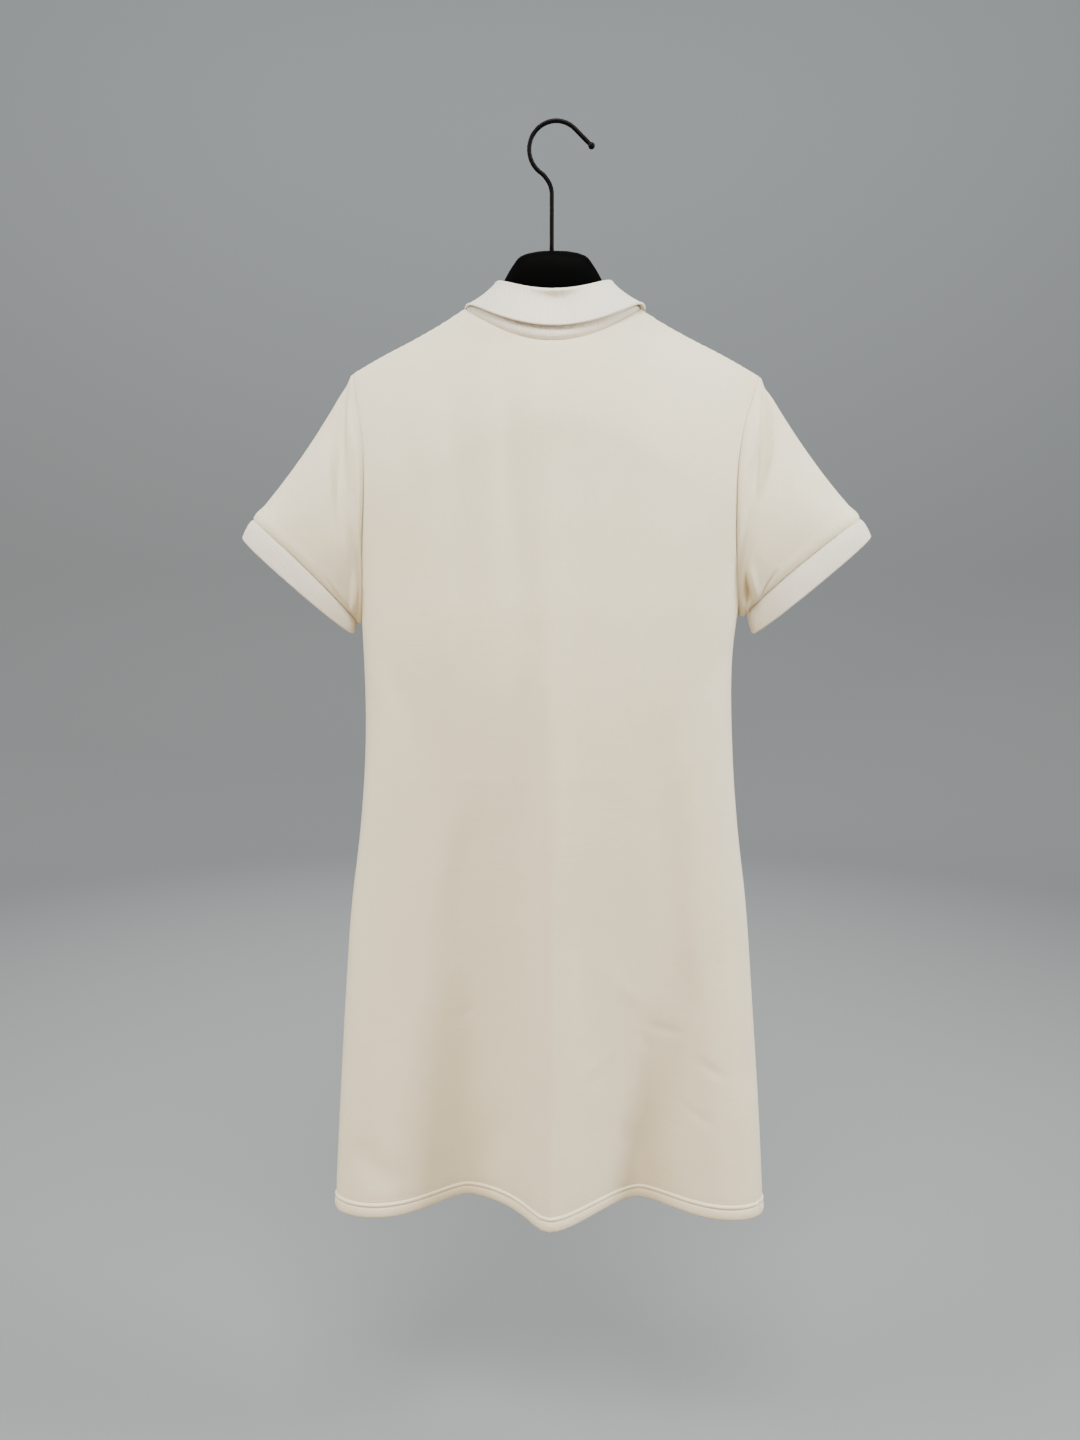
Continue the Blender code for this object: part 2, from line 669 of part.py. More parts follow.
def button(number, material):
    """A dished button on the upper placket strip."""
    z = float(neckline(0.0, -1)) - BUTTON["first"] - BUTTON["pitch"] * (number - 1)
    y = float(depth_at(0.0, z, -1))
    slope = (float(depth_at(0.0, z + 5, -1)) - float(depth_at(0.0, z - 5, -1))) / 10
    axis = unit(np.array([0.0, -1.0, slope]))
    lift = WALL / 2 + SEAM_GAP + PLACKET["wall"] + SEAM_GAP
    place = np.array([0.0, y, z]) + axis * lift
    r = BUTTON["radius"]
    h = BUTTON["height"]
    foot = [(r * 0.82, 0), (r, h * 0.35), (r, h * 0.7)]
    dish = [(r * 0.9, h), (r * 0.7, h * 0.85), (r * 0.62, h * 0.6)]
    profile = foot + dish
    lathe("button_%d" % number, profile, place, axis, material)


def tube(name, path, radii, material, steps=16):
    """A round bar along a path in the hanger's middle plane."""
    path = np.array(path, float)
    tangents = unit(np.gradient(path, axis=0))
    mesh = bmesh.new()
    rings = []
    for point, tangent, radius in zip(path, tangents, radii):
        across = np.array([tangent[2], 0.0, -tangent[0]])
        ring = []
        for k in range(steps):
            turn = 2 * math.pi * k / steps
            out = across * math.cos(turn) + np.array([0.0, 1.0, 0.0]) * math.sin(turn)
            ring.append(mesh.verts.new((point + out * radius) * MM))
        rings.append(ring)
    skin(mesh, rings)
    return finish(name, mesh, material)


def hook_path():
    """The hook's middle line from the stem's foot to the ball, and its radius at each point."""
    cx, cz = HOOK["middle"]
    radius = HOOK["radius"]
    path = [np.array([0.0, 0.0, z]) for z in (HOOK["stem_foot"], -90.0, HOOK["stem_top"])]
    turns = np.radians(np.linspace(HOOK["start"], HOOK["end"], 27))
    arc = [np.array([cx + radius * math.cos(a), 0.0, cz + radius * math.sin(a)]) for a in turns]
    first = unit(arc[1] - arc[0])
    corner_z = HOOK["stem_top"] + 8.0
    corner = np.array([0.0, 0.0, corner_z])
    before = arc[0] - first * 3.0
    for t in (0.2, 0.4, 0.6, 0.8, 1.0):
        bend = (1 - t) ** 2 * path[2] + 2 * t * (1 - t) * corner + t * t * before
        path.append(bend)
    path += arc
    last = unit(arc[-1] - arc[-2])
    tip = arc[-1] + last * HOOK["lead"]
    path.append(arc[-1] + last * HOOK["lead"] * 0.5)
    path.append(tip - last * 1.2)
    radii = [HOOK["wire"]] * len(path)
    ball = HOOK["ball"]
    for turn in (40, 65, 90, 115, 140, 160):
        a = math.radians(turn)
        path.append(tip + last * (ball * 0.8 - ball * math.cos(a)))
        radii.append(ball * math.sin(a))
    return path, radii


def hanger_rings():
    """The hanger body's sections from its right shoulder to its left."""
    stations = np.array(sorted({-x for x in HANGER["x"]} | set(HANGER["x"])), float)
    rings = []
    for x in stations:
        top, foot, half = hanger_sizes(x)
        rings.append(hanger_section(x, top, foot, half))
    top, foot, half = hanger_sizes(stations[-1])
    for x in (stations[0] - 2.5, stations[-1] + 2.5):
        cap = hanger_section(x, top - 5.0, foot + 5.0, (half - 4.0) * 0.8)
        rings.insert(0 if x < 0 else len(rings), cap)
    return rings


def hanger_sizes(x):
    """The hanger body's top, its underside and half its thickness at x."""
    return [float(smooth(HANGER["x"], HANGER[column], abs(x))) for column in ("top", "foot", "half")]


def hanger_section(x, top, foot, half):
    """A closed section of the hanger that stays inside the cloth over it."""
    ring = []
    for k in range(20):
        turn = 2 * math.pi * (k + 0.5) / 20
        up = math.copysign(abs(math.cos(turn)) ** 0.8, math.cos(turn))
        z = (top + foot) / 2 + (top - foot) / 2 * up
        y = half * math.copysign(abs(math.sin(turn)) ** 0.7, math.sin(turn))
        if abs(x) > NECK["half"] - 12:
            room = min(float(depth_at(x, z + 1.8, 1)), -float(depth_at(x, z + 1.8, -1)))
            y = math.copysign(min(abs(y), max(room - HANGER_CLEARANCE, 0.6)), y)
        ring.append(np.array([x, y, z]))
    return ring


def hanger(material):
    """The hanger's body, with the hole that the hook's stem is screwed into."""
    mesh = bmesh.new()
    rings = [[mesh.verts.new(point * MM) for point in ring] for ring in hanger_rings()]
    skin(mesh, rings)
    body = finish("hanger_body", mesh, material)
    depth = HOOK["stem_foot"] - 1.0
    bore = [(HOOK["bore"], depth), (HOOK["bore"], -90.0)]
    drill = lathe("drill", bore, (0, 0, 0), (0, 0, 1), material)
    cut = body.modifiers.new("bore", "BOOLEAN")
    cut.operation = "DIFFERENCE"
    cut.object = drill
    bpy.context.view_layer.update()
    graph = bpy.context.evaluated_depsgraph_get()
    shape = bpy.data.meshes.new_from_object(body.evaluated_get(graph))
    body.modifiers.remove(cut)
    body.data = shape
    bpy.data.objects.remove(drill, do_unlink=True)


fabric = make_material("pique_knit", (0.73, 0.70, 0.62), 0.92)
rib = make_material("rib_knit", (0.78, 0.75, 0.69), 0.92)
pearl = make_material("button_white", (0.80, 0.79, 0.75), 0.30)
plastic = make_material("hanger_black", (0.012, 0.012, 0.013), 0.45)
wire = make_material("hook_black", (0.010, 0.010, 0.011), 0.35, 0.6)

back_points, back_s = panel(1, BACK_COLUMNS)
front_points, front_s = panel(-1, FRONT_COLUMNS, slot=SLOT_STATION)
back_n, front_n, seam_n = share_seam_normals(back_points, front_points)
sleeve_and_cuff("left", back_points, front_points, seam_n["left"], fabric, rib)
sleeve_and_cuff("right", back_points, front_points, seam_n["right"], fabric, rib)
neck, neck_n = neck_path(back_points, front_points, back_n, front_n)
band_n = neck_band(neck, neck_n, rib)
collar(neck, band_n, rib)
split_seams(back_points, front_points)
wall("back_panel", back_points, back_n, WALL, fabric)
slot_start = SKIRT_ROWS + YOKE_ROWS.index(PLACKET["slot_row"])
near_middle = [j for j in range(len(front_s)) if abs(front_s[j]) <= SLOT_STATION + 1e-6]
slot_cells = {(i, j) for i in range(slot_start, len(front_points) - 1) for j in near_middle[:-1]}
wall("front_panel", front_points, front_n, WALL, fabric, skip=slot_cells)
placket_strip("placket_top", front_points, 1, PLACKET["half"], PLACKET["below"], fabric)
placket_strip("placket_under", front_points, -1, PLACKET["half"] - 1, PLACKET["below"] * 0.7, fabric)
for count in range(BUTTON["count"]):
    button(count + 1, pearl)
hanger(plastic)
hook_points, hook_radii = hook_path()
tube("hanger_hook", hook_points, hook_radii, wire)
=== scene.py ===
# %% [markdown]
# # A knitted polo dress on a black hanger
#
# This lesson builds the cloth, the trims and the hanger of a short-sleeved polo dress. The
# dress hangs from a wire hook, with its back towards the camera. The frame that is loaded here
# already holds every piece as a plain solid, in metres, with the hook's crown at the origin,
# +Z up, +X towards the wearer's left and +Y towards the garment's back.

# %% Load the frame
import json
import math

import bpy
import numpy as np
from mathutils import Matrix, Vector

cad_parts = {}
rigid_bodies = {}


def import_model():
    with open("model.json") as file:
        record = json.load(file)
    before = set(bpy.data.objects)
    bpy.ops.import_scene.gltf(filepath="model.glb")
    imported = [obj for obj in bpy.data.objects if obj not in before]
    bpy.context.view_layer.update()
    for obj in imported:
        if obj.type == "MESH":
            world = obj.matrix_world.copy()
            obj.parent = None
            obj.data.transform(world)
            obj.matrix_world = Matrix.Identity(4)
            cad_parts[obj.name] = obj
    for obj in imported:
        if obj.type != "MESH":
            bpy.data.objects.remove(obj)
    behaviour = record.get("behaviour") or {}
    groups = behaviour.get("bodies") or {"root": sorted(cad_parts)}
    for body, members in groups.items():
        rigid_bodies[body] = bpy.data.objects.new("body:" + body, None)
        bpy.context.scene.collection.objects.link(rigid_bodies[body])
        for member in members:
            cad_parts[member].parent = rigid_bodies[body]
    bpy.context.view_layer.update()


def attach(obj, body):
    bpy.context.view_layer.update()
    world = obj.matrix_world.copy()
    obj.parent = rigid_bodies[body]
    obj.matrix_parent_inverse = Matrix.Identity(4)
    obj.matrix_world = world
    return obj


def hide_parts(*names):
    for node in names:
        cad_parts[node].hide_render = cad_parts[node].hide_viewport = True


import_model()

MM = 0.001

# %% [markdown]
# ## The sizes of the garment
#
# A garment is cut from flat pieces, but once it hangs it is easier to describe by level
# sections: how far it reaches to each side, to the back and to the front at each height. The
# tables below are the ones that the solids were made from, in millimetres, so that the fine
# cloth lies exactly where its solid does.

# %% Body sections, folds, shoulders and armholes
SECTIONS = {
    "height": (-981, -896, -777, -684, -608, -531, -440, -415, -382, -340, -300, -250, -200, -140),
    "left": (206, 200.5, 192, 184, 174, 168, 168.5, 169.5, 173, 180, 184, 187, 189, 190),
    "right": (202, 196.5, 187, 179, 169.5, 163, 162.5, 165.5, 169.5, 177, 182, 187, 192, 193),
    "back": (50, 50, 52, 55, 59, 64, 70, 71, 70, 69, 67, 65, 62, 60),
    "front": (62, 60, 60, 60, 60, 60, 61, 62, 62, 61, 59, 57, 55, 54),
    "turn": (13, 12, 9, 6, 3, 0, 0, 0, 0, 0, 0, 0, 0, 0),
}
SQUARENESS = 2.3
BACK_FOLDS = {
    "x_hem": (82, -85, 3), "x_top": (60, -112, 0), "z_top": (-470, -480, -330),
    "depth": (-68, -67, 33), "reach_left": (58, 62, 24), "reach_right": (80, 63, 45),
}
FRONT_FOLDS = {
    "x_hem": (66, -84), "x_top": (58, -70), "z_top": (-560, -540),
    "depth": (-26, -28), "reach_left": (44, 40), "reach_right": (40, 46),
}
SHOULDER = {"x": (75, 95, 115, 150, 182), "z": (-152.5, -165, -176, -193.5, -211)}
SHOULDER_TIP = {"left": 175.0, "right": 181.5}
ROOF_HEIGHT = 130.0
ROOF_ROUND = 1.6
ARMHOLE = {
    "left": {
        "z": (-421, -400, -382, -359, -339, -304, -275, -252, -228, -206),
        "x": (169.2, 166.5, 165, 164, 162.3, 160.6, 161.5, 165.2, 170.7, 175),
    },
    "right": {
        "z": (-412, -391, -356, -322, -295, -270, -250, -231, -211),
        "x": (165.3, 162.8, 159.6, 158.6, 159.3, 162.6, 167.2, 174, 181.5),
    },
}
ARMPIT = {"left": -421.0, "right": -412.0}
HEM = -981.0
print("body: hem", SECTIONS["left"][0] + SECTIONS["right"][0], "mm wide,",
      "waist", SECTIONS["left"][5] + SECTIONS["right"][5], "mm")

# %% Neck, collar, cuffs, placket, buttons, hanger and hook
NECK_MIDDLE = -1.5
NECK = {"half": 76.0, "side": -153.5, "back_drop": 35.5, "front_drop": 72.0}
BAND_TOP = {"half": 65.0, "side": -149.8, "back_drop": 27.7, "front_drop": 64.0,
            "back": 44.2, "front": 44.5, "middle": -1.8}
FOLD = {"half": 49.3, "side": -132.5, "back_drop": 14.0, "front_drop": 62.0,
        "back": 33.0, "front": 35.0, "middle": -2.2}
FALL = {"half": 78.5, "side": -148.4, "back_drop": 29.6, "front_drop": 0.0,
        "back": 50.5, "front": 50.5, "middle": -3.0}
COLLAR_POINT = {"x": 50.0, "z": -250.0}
COLLAR_OPENING = 3.2
FOLD_RADIUS = 1.7
LEAF_CLEARANCE = 5.0
CUFFS = {
    "left": {"seam_top": (266.0, -333.0), "seam_under": (176.5, -419.0),
             "edge_top": (275.5, -349.5), "edge_under": (179.0, -434.5)},
    "right": {"seam_top": (272.0, -333.0), "seam_under": (175.0, -412.5),
              "edge_top": (281.5, -349.0), "edge_under": (181.0, -434.0)},
}
CUFF_DEPTH = 27.0
CUFF_BOW = 4.0
CUFF_SQUARENESS = 0.85
PLACKET_HALF = 15.0
SLOT_PART = 0.25
SLOT_STATION = 0.042
BUTTON = {"radius": 5.5, "height": 2.4, "count": 3, "first": 14.0, "pitch": 52.0}
BACK_NECK_COLUMN = 0.375
FRONT_NECK_COLUMN = 10 / 24
HANGER = {
    "x": (0, 16, 25, 30, 34, 44, 46, 52, 60, 68, 75, 95, 115, 150, 170),
    "top": (-104.4, -105.6, -107.8, -110.4, -115.5, -132.5, -137, -148, -155, -160, -163, -169.8, -179,
            -196, -207),
    "foot": (-152, -153, -155, -157, -158.5, -163, -164, -167, -172, -177, -182, -194, -207, -226, -234),
    "half": (11, 11, 10.5, 9.7, 8.8, 6.9, 6.9, 7.2, 8, 9, 10, 14, 16, 16, 15),
}
HOOK = {"radius": 23.0, "wire": 1.9, "middle": (-3.6, -20.8), "start": -54.0, "end": 136.0,
        "lead": 17.0, "ball": 2.9, "stem_top": -57.0, "stem_foot": -128.0}
print("shoulders", SHOULDER_TIP["left"] + SHOULDER_TIP["right"], "mm, neck", 2 * NECK["half"], "mm")

# %% [markdown]
# ## From sizes to surfaces
#
# Each section is a squared-off ellipse. A smooth curve through the table gives its sizes at
# any height, a roof function lets the cloth fall off the hanger's shoulders, and the folds are
# soft bumps that grow towards the hem. One function, `depth_at`, then says how far out the
# cloth lies at any place, and every piece that is sewn to the body asks it.


# %% The curve through a table, and how deep the cloth lies
def smooth(knots, values, where):
    """Values between the knots on a smooth curve through them, for rising knots."""
    knots = np.asarray(knots, float)
    values = np.asarray(values, float)
    where = np.clip(np.asarray(where, float), knots[0], knots[-1])
    slopes = np.gradient(values, knots)
    i = np.clip(np.searchsorted(knots, where, side="right") - 1, 0, len(knots) - 2)
    step = knots[i + 1] - knots[i]
    t = (where - knots[i]) / step
    rise = values[i + 1] - values[i]
    lead = slopes[i] * step - rise
    trail = slopes[i + 1] * step - rise
    return values[i] + rise * t + t * (1 - t) * (lead * (1 - t) - trail * t)


def unit(vectors):
    """The same vectors with length one."""
    length = np.linalg.norm(vectors, axis=-1, keepdims=True)
    return vectors / np.maximum(length, 1e-9)


def section(column, z):
    """One column of the body's sections at heights z."""
    return smooth(SECTIONS["height"], SECTIONS[column], z)


def shoulder_line(x):
    """Height of the shoulder seam, carried on as a round crown between the neck points."""
    x = np.abs(x)
    inner = SHOULDER["x"][0]
    slope = (SHOULDER["z"][1] - SHOULDER["z"][0]) / (SHOULDER["x"][1] - inner)
    crown = SHOULDER["z"][0] - slope * (inner * inner - x * x) / (2 * inner)
    return np.where(x < inner, crown, smooth(SHOULDER["x"], SHOULDER["z"], x))


def fold_depth(folds, x, z):
    """How far the folds push the cloth out (positive) or in."""
    total = np.zeros(np.broadcast(x, z).shape)
    for i in range(len(folds["depth"])):
        down = np.clip((folds["z_top"][i] - z) / (folds["z_top"][i] - HEM), 0, 1)
        middle = folds["x_top"][i] + (folds["x_hem"][i] - folds["x_top"][i]) * down
        off = x - middle
        reach = np.where(off > 0, folds["reach_left"][i], folds["reach_right"][i])
        reach = reach * (1.25 - 0.25 * down)
        total = total + folds["depth"][i] * down**1.5 * np.exp(-np.abs(off / reach) ** 1.6)
    return total


def depth_at(x, z, side):
    """Y of the cloth at x and z on the back (side 1) or the front (side -1)."""
    reach = np.where(x > 0, section("left", z), section("right", z))
    part = np.clip(np.abs(x) / reach, 0, 1)
    lift = (1 - part**SQUARENESS) ** (1 / SQUARENESS)
    down = np.clip((shoulder_line(x) - z) / ROOF_HEIGHT, 0, 1)
    roof = (1 - (1 - down) ** ROOF_ROUND) ** (1 / ROOF_ROUND)
    out = section("back" if side > 0 else "front", z) * lift * roof
    return side * (out + fold_depth(BACK_FOLDS if side > 0 else FRONT_FOLDS, x, z) * lift)


def neckline(x, side):
    """Height of the neckline at x, on the back or the front."""
    part = np.clip((x - NECK_MIDDLE) / NECK["half"], -1, 1)
    drop = NECK["back_drop"] if side > 0 else NECK["front_drop"]
    return NECK["side"] - drop * (1 - part * part)


print("back neck seam to hem:", round(float(neckline(0.0, 1)) - HEM), "mm")

# %% [markdown]
# ## A shell of cloth
#
# A panel is a grid of points with rows up the cloth and columns across it. The shell gives it
# two faces and a rim. Each face may stand out from the grid by its own amount, which is how
# the turned-up hem, rolled seam edges and thick ribs get their real shape. The map keeps the
# knit in step with the cloth: it counts real lengths along the rows and columns.


# %% Grid helpers and the shell maker
def add_object(name, data):
    """An object for this mesh, light or camera, linked to the scene."""
    made = bpy.data.objects.new(name, data)
    bpy.context.scene.collection.objects.link(made)
    return made


def ring_faces(rings, steps):
    """Quads between closed rings of so many steps, with a face over the first and the last ring."""
    faces = []
    for k in range(rings - 1):
        for j in range(steps):
            n = (j + 1) % steps
            faces.append([k * steps + j, k * steps + n, (k + 1) * steps + n, (k + 1) * steps + j])
    last = (rings - 1) * steps
    return faces + [list(range(steps))[::-1], list(range(last, last + steps))]


def grid_normals(points, closed, like):
    """Normals of a grid, turned to the side that the vectors in like point to."""
    along = np.gradient(points, axis=0)
    if closed:
        across = np.roll(points, -1, axis=1) - np.roll(points, 1, axis=1)
    else:
        across = np.gradient(points, axis=1)
    normals = unit(np.cross(across, along))
    return normals * np.sign(np.sum(normals * like))


def lengths(points, axis, closed=False):
    """Running length along the rows (axis 0) or columns (axis 1) of a grid."""
    if closed:
        points = np.concatenate([points, points[:, :1]], axis=1)
    steps = np.linalg.norm(np.diff(points, axis=axis), axis=2)
    pad = ((1, 0), (0, 0)) if axis == 0 else ((0, 0), (1, 0))
    return np.pad(np.cumsum(steps, axis=axis), pad)


def round_edge(distance, radius):
    """From 0 at a rim to 1 where the cloth has its full thickness."""
    inside = np.clip(distance / radius, 0.02, 1)
    return np.sqrt(1 - (1 - inside) ** 2)


def shell(name, points, normals, outside, inside, material, closed=False, keep=None):
    """Makes a closed wall from a grid: its faces stand outside and inside the points."""
    rows, columns = points.shape[:2]
    span = columns if closed else columns - 1
    i, j = np.meshgrid(np.arange(rows - 1), np.arange(span), indexing="ij")
    used = np.ones(i.shape, bool) if keep is None else keep
    i = i[used]
    j = j[used]
    n = (j + 1) % columns
    low, high = i * columns, (i + 1) * columns
    quad = np.stack([low + j, low + n, high + n, high + j], axis=1)
    u = lengths(points, 1, closed)
    u = u - (0 if closed else u[:, columns // 2][:, None])
    v = lengths(points, 0)
    if closed:
        v = np.concatenate([v, v[:, :1]], axis=1)
    map_u = np.stack([u[i, j], u[i, j + 1], u[i + 1, j + 1], u[i + 1, j]], axis=1)
    map_v = np.stack([v[i, j], v[i, j + 1], v[i + 1, j + 1], v[i + 1, j]], axis=1)
    out = (points + normals * outside[..., None]).reshape(-1, 3)
    back = (points - normals * inside[..., None]).reshape(-1, 3)
    edge = np.cross(out[quad[:, 1]] - out[quad[:, 0]], out[quad[:, 3]] - out[quad[:, 0]])
    if np.sum(edge * normals.reshape(-1, 3)[quad[:, 0]]) < 0:
        quad = quad[:, ::-1]
        map_u = map_u[:, ::-1]
        map_v = map_v[:, ::-1]
    count = rows * columns
    start = quad.reshape(-1)
    end = np.roll(quad, -1, axis=1).reshape(-1)
    start_u, start_v = map_u.reshape(-1), map_v.reshape(-1)
    end_u, end_v = np.roll(map_u, -1, axis=1).reshape(-1), np.roll(map_v, -1, axis=1).reshape(-1)
    rim = ~np.isin(start * count + end, end * count + start)
    rim_quads = np.stack([end, start, start + count, end + count], axis=1)[rim]
    rim_u = np.stack([end_u, start_u, start_u, end_u], axis=1)[rim]
    rim_v = np.stack([end_v, start_v, start_v, end_v], axis=1)[rim]
    faces = np.concatenate([quad, quad[:, ::-1] + count, rim_quads])
    all_u = np.concatenate([map_u, map_u[:, ::-1], rim_u]).reshape(-1)
    all_v = np.concatenate([map_v, map_v[:, ::-1], rim_v]).reshape(-1)
    kept, faces = np.unique(faces, return_inverse=True)
    vertices = np.concatenate([out, back])[kept] * MM
    corner_map = np.stack([all_u, all_v], axis=1) * MM
    return mesh_piece(name, vertices, faces.reshape(-1, 4), material, corner_map)


def mesh_piece(name, vertices, faces, material, corner_map):
    """A smooth-shaded object from vertices and faces in metres, with its map of lengths."""
    data = bpy.data.meshes.new(name)
    data.from_pydata(vertices.tolist(), [], faces.tolist())
    layer = data.uv_layers.new(name="lengths")
    layer.data.foreach_set("uv", corner_map.astype(np.float32).reshape(-1))
    data.polygons.foreach_set("use_smooth", [True] * len(data.polygons))
    data.materials.append(material)
    data.validate()
    data.update()
    print(name, len(data.polygons), "faces")
    return add_object(name, data)


# %% [markdown]
# ## Finishes
#
# The body cloth is a fine double knit: tiny lumps in a diagonal lattice, about 1.5 mm apart,
# in matt off-white cotton with a soft nap. The collar, the cuffs and the neck band are flat
# knitted ribs in a whiter yarn, so their lines run one way. Both patterns are drawn in the
# map of real lengths, so that they bend with the cloth. The hanger is moulded plastic, and
# the hook is black wire.


# %% Node helpers
def node(tree, kind, **values):
    """A node with its settings and unlinked inputs."""
    made = tree.nodes.new(kind)
    for key, value in values.items():
        if key in made.inputs:
            made.inputs[key].default_value = value
        else:
            setattr(made, key, value)
    return made


def math_node(tree, operation, first, second=0.0):
    """One sum: each term is a socket or a number."""
    made = tree.nodes.new("ShaderNodeMath")
    made.operation = operation
    for slot, term in zip(made.inputs, (first, second)):
        if isinstance(term, (int, float)):
            slot.default_value = term
        else:
            tree.links.new(term, slot)
    return made.outputs[0]


def new_finish(name, roughness, **more):
    """A Principled BSDF material and its tree. Constant values go on the shader's sockets."""
    material = bpy.data.materials.new(name)
    material.use_nodes = True
    tree = material.node_tree
    shader = tree.nodes["Principled BSDF"]
    shader.inputs["Roughness"].default_value = roughness
    for key, value in more.items():
        shader.inputs[key.replace("_", " ")].default_value = value
    return material, tree, shader


# %% Knitted cotton for the body and ribs
def knit_finish(name, colour, shade, across, along, ribbed, roughness):
    """Knitted cotton: lumps or ribs in the map of lengths, streaky colour, painted shade in the knit's
    hollows and a soft nap.
    """
    material, tree, shader = new_finish(name, roughness, Sheen_Weight=0.18, Sheen_Roughness=0.55,
                                        Specular_IOR_Level=0.22)
    where = node(tree, "ShaderNodeUVMap", uv_map="lengths")
    split = node(tree, "ShaderNodeSeparateXYZ")
    tree.links.new(where.outputs["UV"], split.inputs[0])
    wale = math_node(tree, "SINE", math_node(tree, "MULTIPLY", split.outputs[0], 2 * math.pi / across))
    course = math_node(tree, "SINE", math_node(tree, "MULTIPLY", split.outputs[1], 2 * math.pi / along))
    if ribbed:
        height = math_node(tree, "ADD", wale, math_node(tree, "MULTIPLY", course, 0.45))
    else:
        height = math_node(tree, "MULTIPLY", wale, course)
    place = node(tree, "ShaderNodeTexCoord")
    yarn = node(tree, "ShaderNodeTexNoise", Scale=900.0, Detail=3.0, Roughness=0.6)
    cloud = node(tree, "ShaderNodeTexNoise", Scale=14.0, Detail=4.0, Roughness=0.55)
    tree.links.new(place.outputs["Object"], yarn.inputs["Vector"])
    tree.links.new(place.outputs["Object"], cloud.inputs["Vector"])
    fuzz = math_node(tree, "MULTIPLY", yarn.outputs["Fac"], 0.8)
    total = math_node(tree, "ADD", height, fuzz)
    bump = node(tree, "ShaderNodeBump", Strength=0.85, Distance=0.00026)
    tree.links.new(total, bump.inputs["Height"])
    tree.links.new(bump.outputs["Normal"], shader.inputs["Normal"])
    uneven = node(tree, "ShaderNodeMapping", Scale=(28.0, 620.0, 1.0))
    courses = node(tree, "ShaderNodeTexNoise", Scale=1.0, Detail=2.0, Roughness=0.6)
    tree.links.new(where.outputs["UV"], uneven.inputs["Vector"])
    tree.links.new(uneven.outputs["Vector"], courses.inputs["Vector"])
    # Painted shade: the colour is made a little darker where the knit's lumps and ribs dip, on top of
    # random streaks and clouds of tone.
    painted_valley_shade = math_node(tree, "MULTIPLY", height, 0.07)
    streaks_and_valley_shade = math_node(tree, "ADD", painted_valley_shade, math_node(tree, "MULTIPLY", courses.outputs["Fac"], 0.42))
    mixed = math_node(tree, "ADD", streaks_and_valley_shade, math_node(tree, "MULTIPLY", cloud.outputs["Fac"], 0.42))
    tint = node(tree, "ShaderNodeValToRGB")
    tint.color_ramp.elements[0].position = 0.22
    tint.color_ramp.elements[0].color = (*shade, 1)
    tint.color_ramp.elements[1].position = 0.62
    tint.color_ramp.elements[1].color = (*colour, 1)
    tree.links.new(mixed, tint.inputs["Fac"])
    tree.links.new(tint.outputs["Color"], shader.inputs["Base Color"])
    return material


body_knit = knit_finish("double_knit_cotton", (0.885, 0.842, 0.668), (0.825, 0.772, 0.585),
                        0.0019, 0.0016, False, 0.90)
rib_knit = knit_finish("flat_rib_cotton", (0.925, 0.895, 0.805), (0.875, 0.838, 0.735),
                       0.0013, 0.0011, True, 0.90)
print("knits:", body_knit.name, rib_knit.name)


# %% Thread, button, hanger and hook finishes
def moulded_finish(name, colour, roughness, grain, depth, **more):
    """Moulded plastic or painted wire: one colour, with a fine grain and uneven gloss."""
    material, tree, shader = new_finish(name, roughness, **more)
    shader.inputs["Base Color"].default_value = (*colour, 1)
    place = node(tree, "ShaderNodeTexCoord")
    fine = node(tree, "ShaderNodeTexNoise", Scale=grain, Detail=3.0, Roughness=0.6)
    broad = node(tree, "ShaderNodeTexNoise", Scale=40.0, Detail=2.0, Roughness=0.5)
    tree.links.new(place.outputs["Object"], fine.inputs["Vector"])
    tree.links.new(place.outputs["Object"], broad.inputs["Vector"])
    gloss = node(tree, "ShaderNodeMapRange")
    gloss.inputs["To Min"].default_value = roughness - 0.07
    gloss.inputs["To Max"].default_value = roughness + 0.07
    tree.links.new(broad.outputs["Fac"], gloss.inputs["Value"])
    tree.links.new(gloss.outputs["Result"], shader.inputs["Roughness"])
    bump = node(tree, "ShaderNodeBump", Strength=0.25, Distance=depth)
    tree.links.new(fine.outputs["Fac"], bump.inputs["Height"])
    tree.links.new(bump.outputs["Normal"], shader.inputs["Normal"])
    return material


thread = moulded_finish("sewing_thread", (0.84, 0.82, 0.76), 0.80, 2500.0, 0.0001)
button_finish = moulded_finish("button_polyester", (0.82, 0.81, 0.78), 0.28, 300.0, 0.00002)
hanger_finish = moulded_finish("hanger_plastic", (0.0005, 0.0005, 0.0006), 0.60, 1400.0, 0.00005,
                               Specular_IOR_Level=0.02)
hook_finish = moulded_finish("hook_paint", (0.0006, 0.0006, 0.0007), 0.42, 900.0, 0.00002,
                             Specular_IOR_Level=0.07)
print("finishes made:", len(bpy.data.materials))
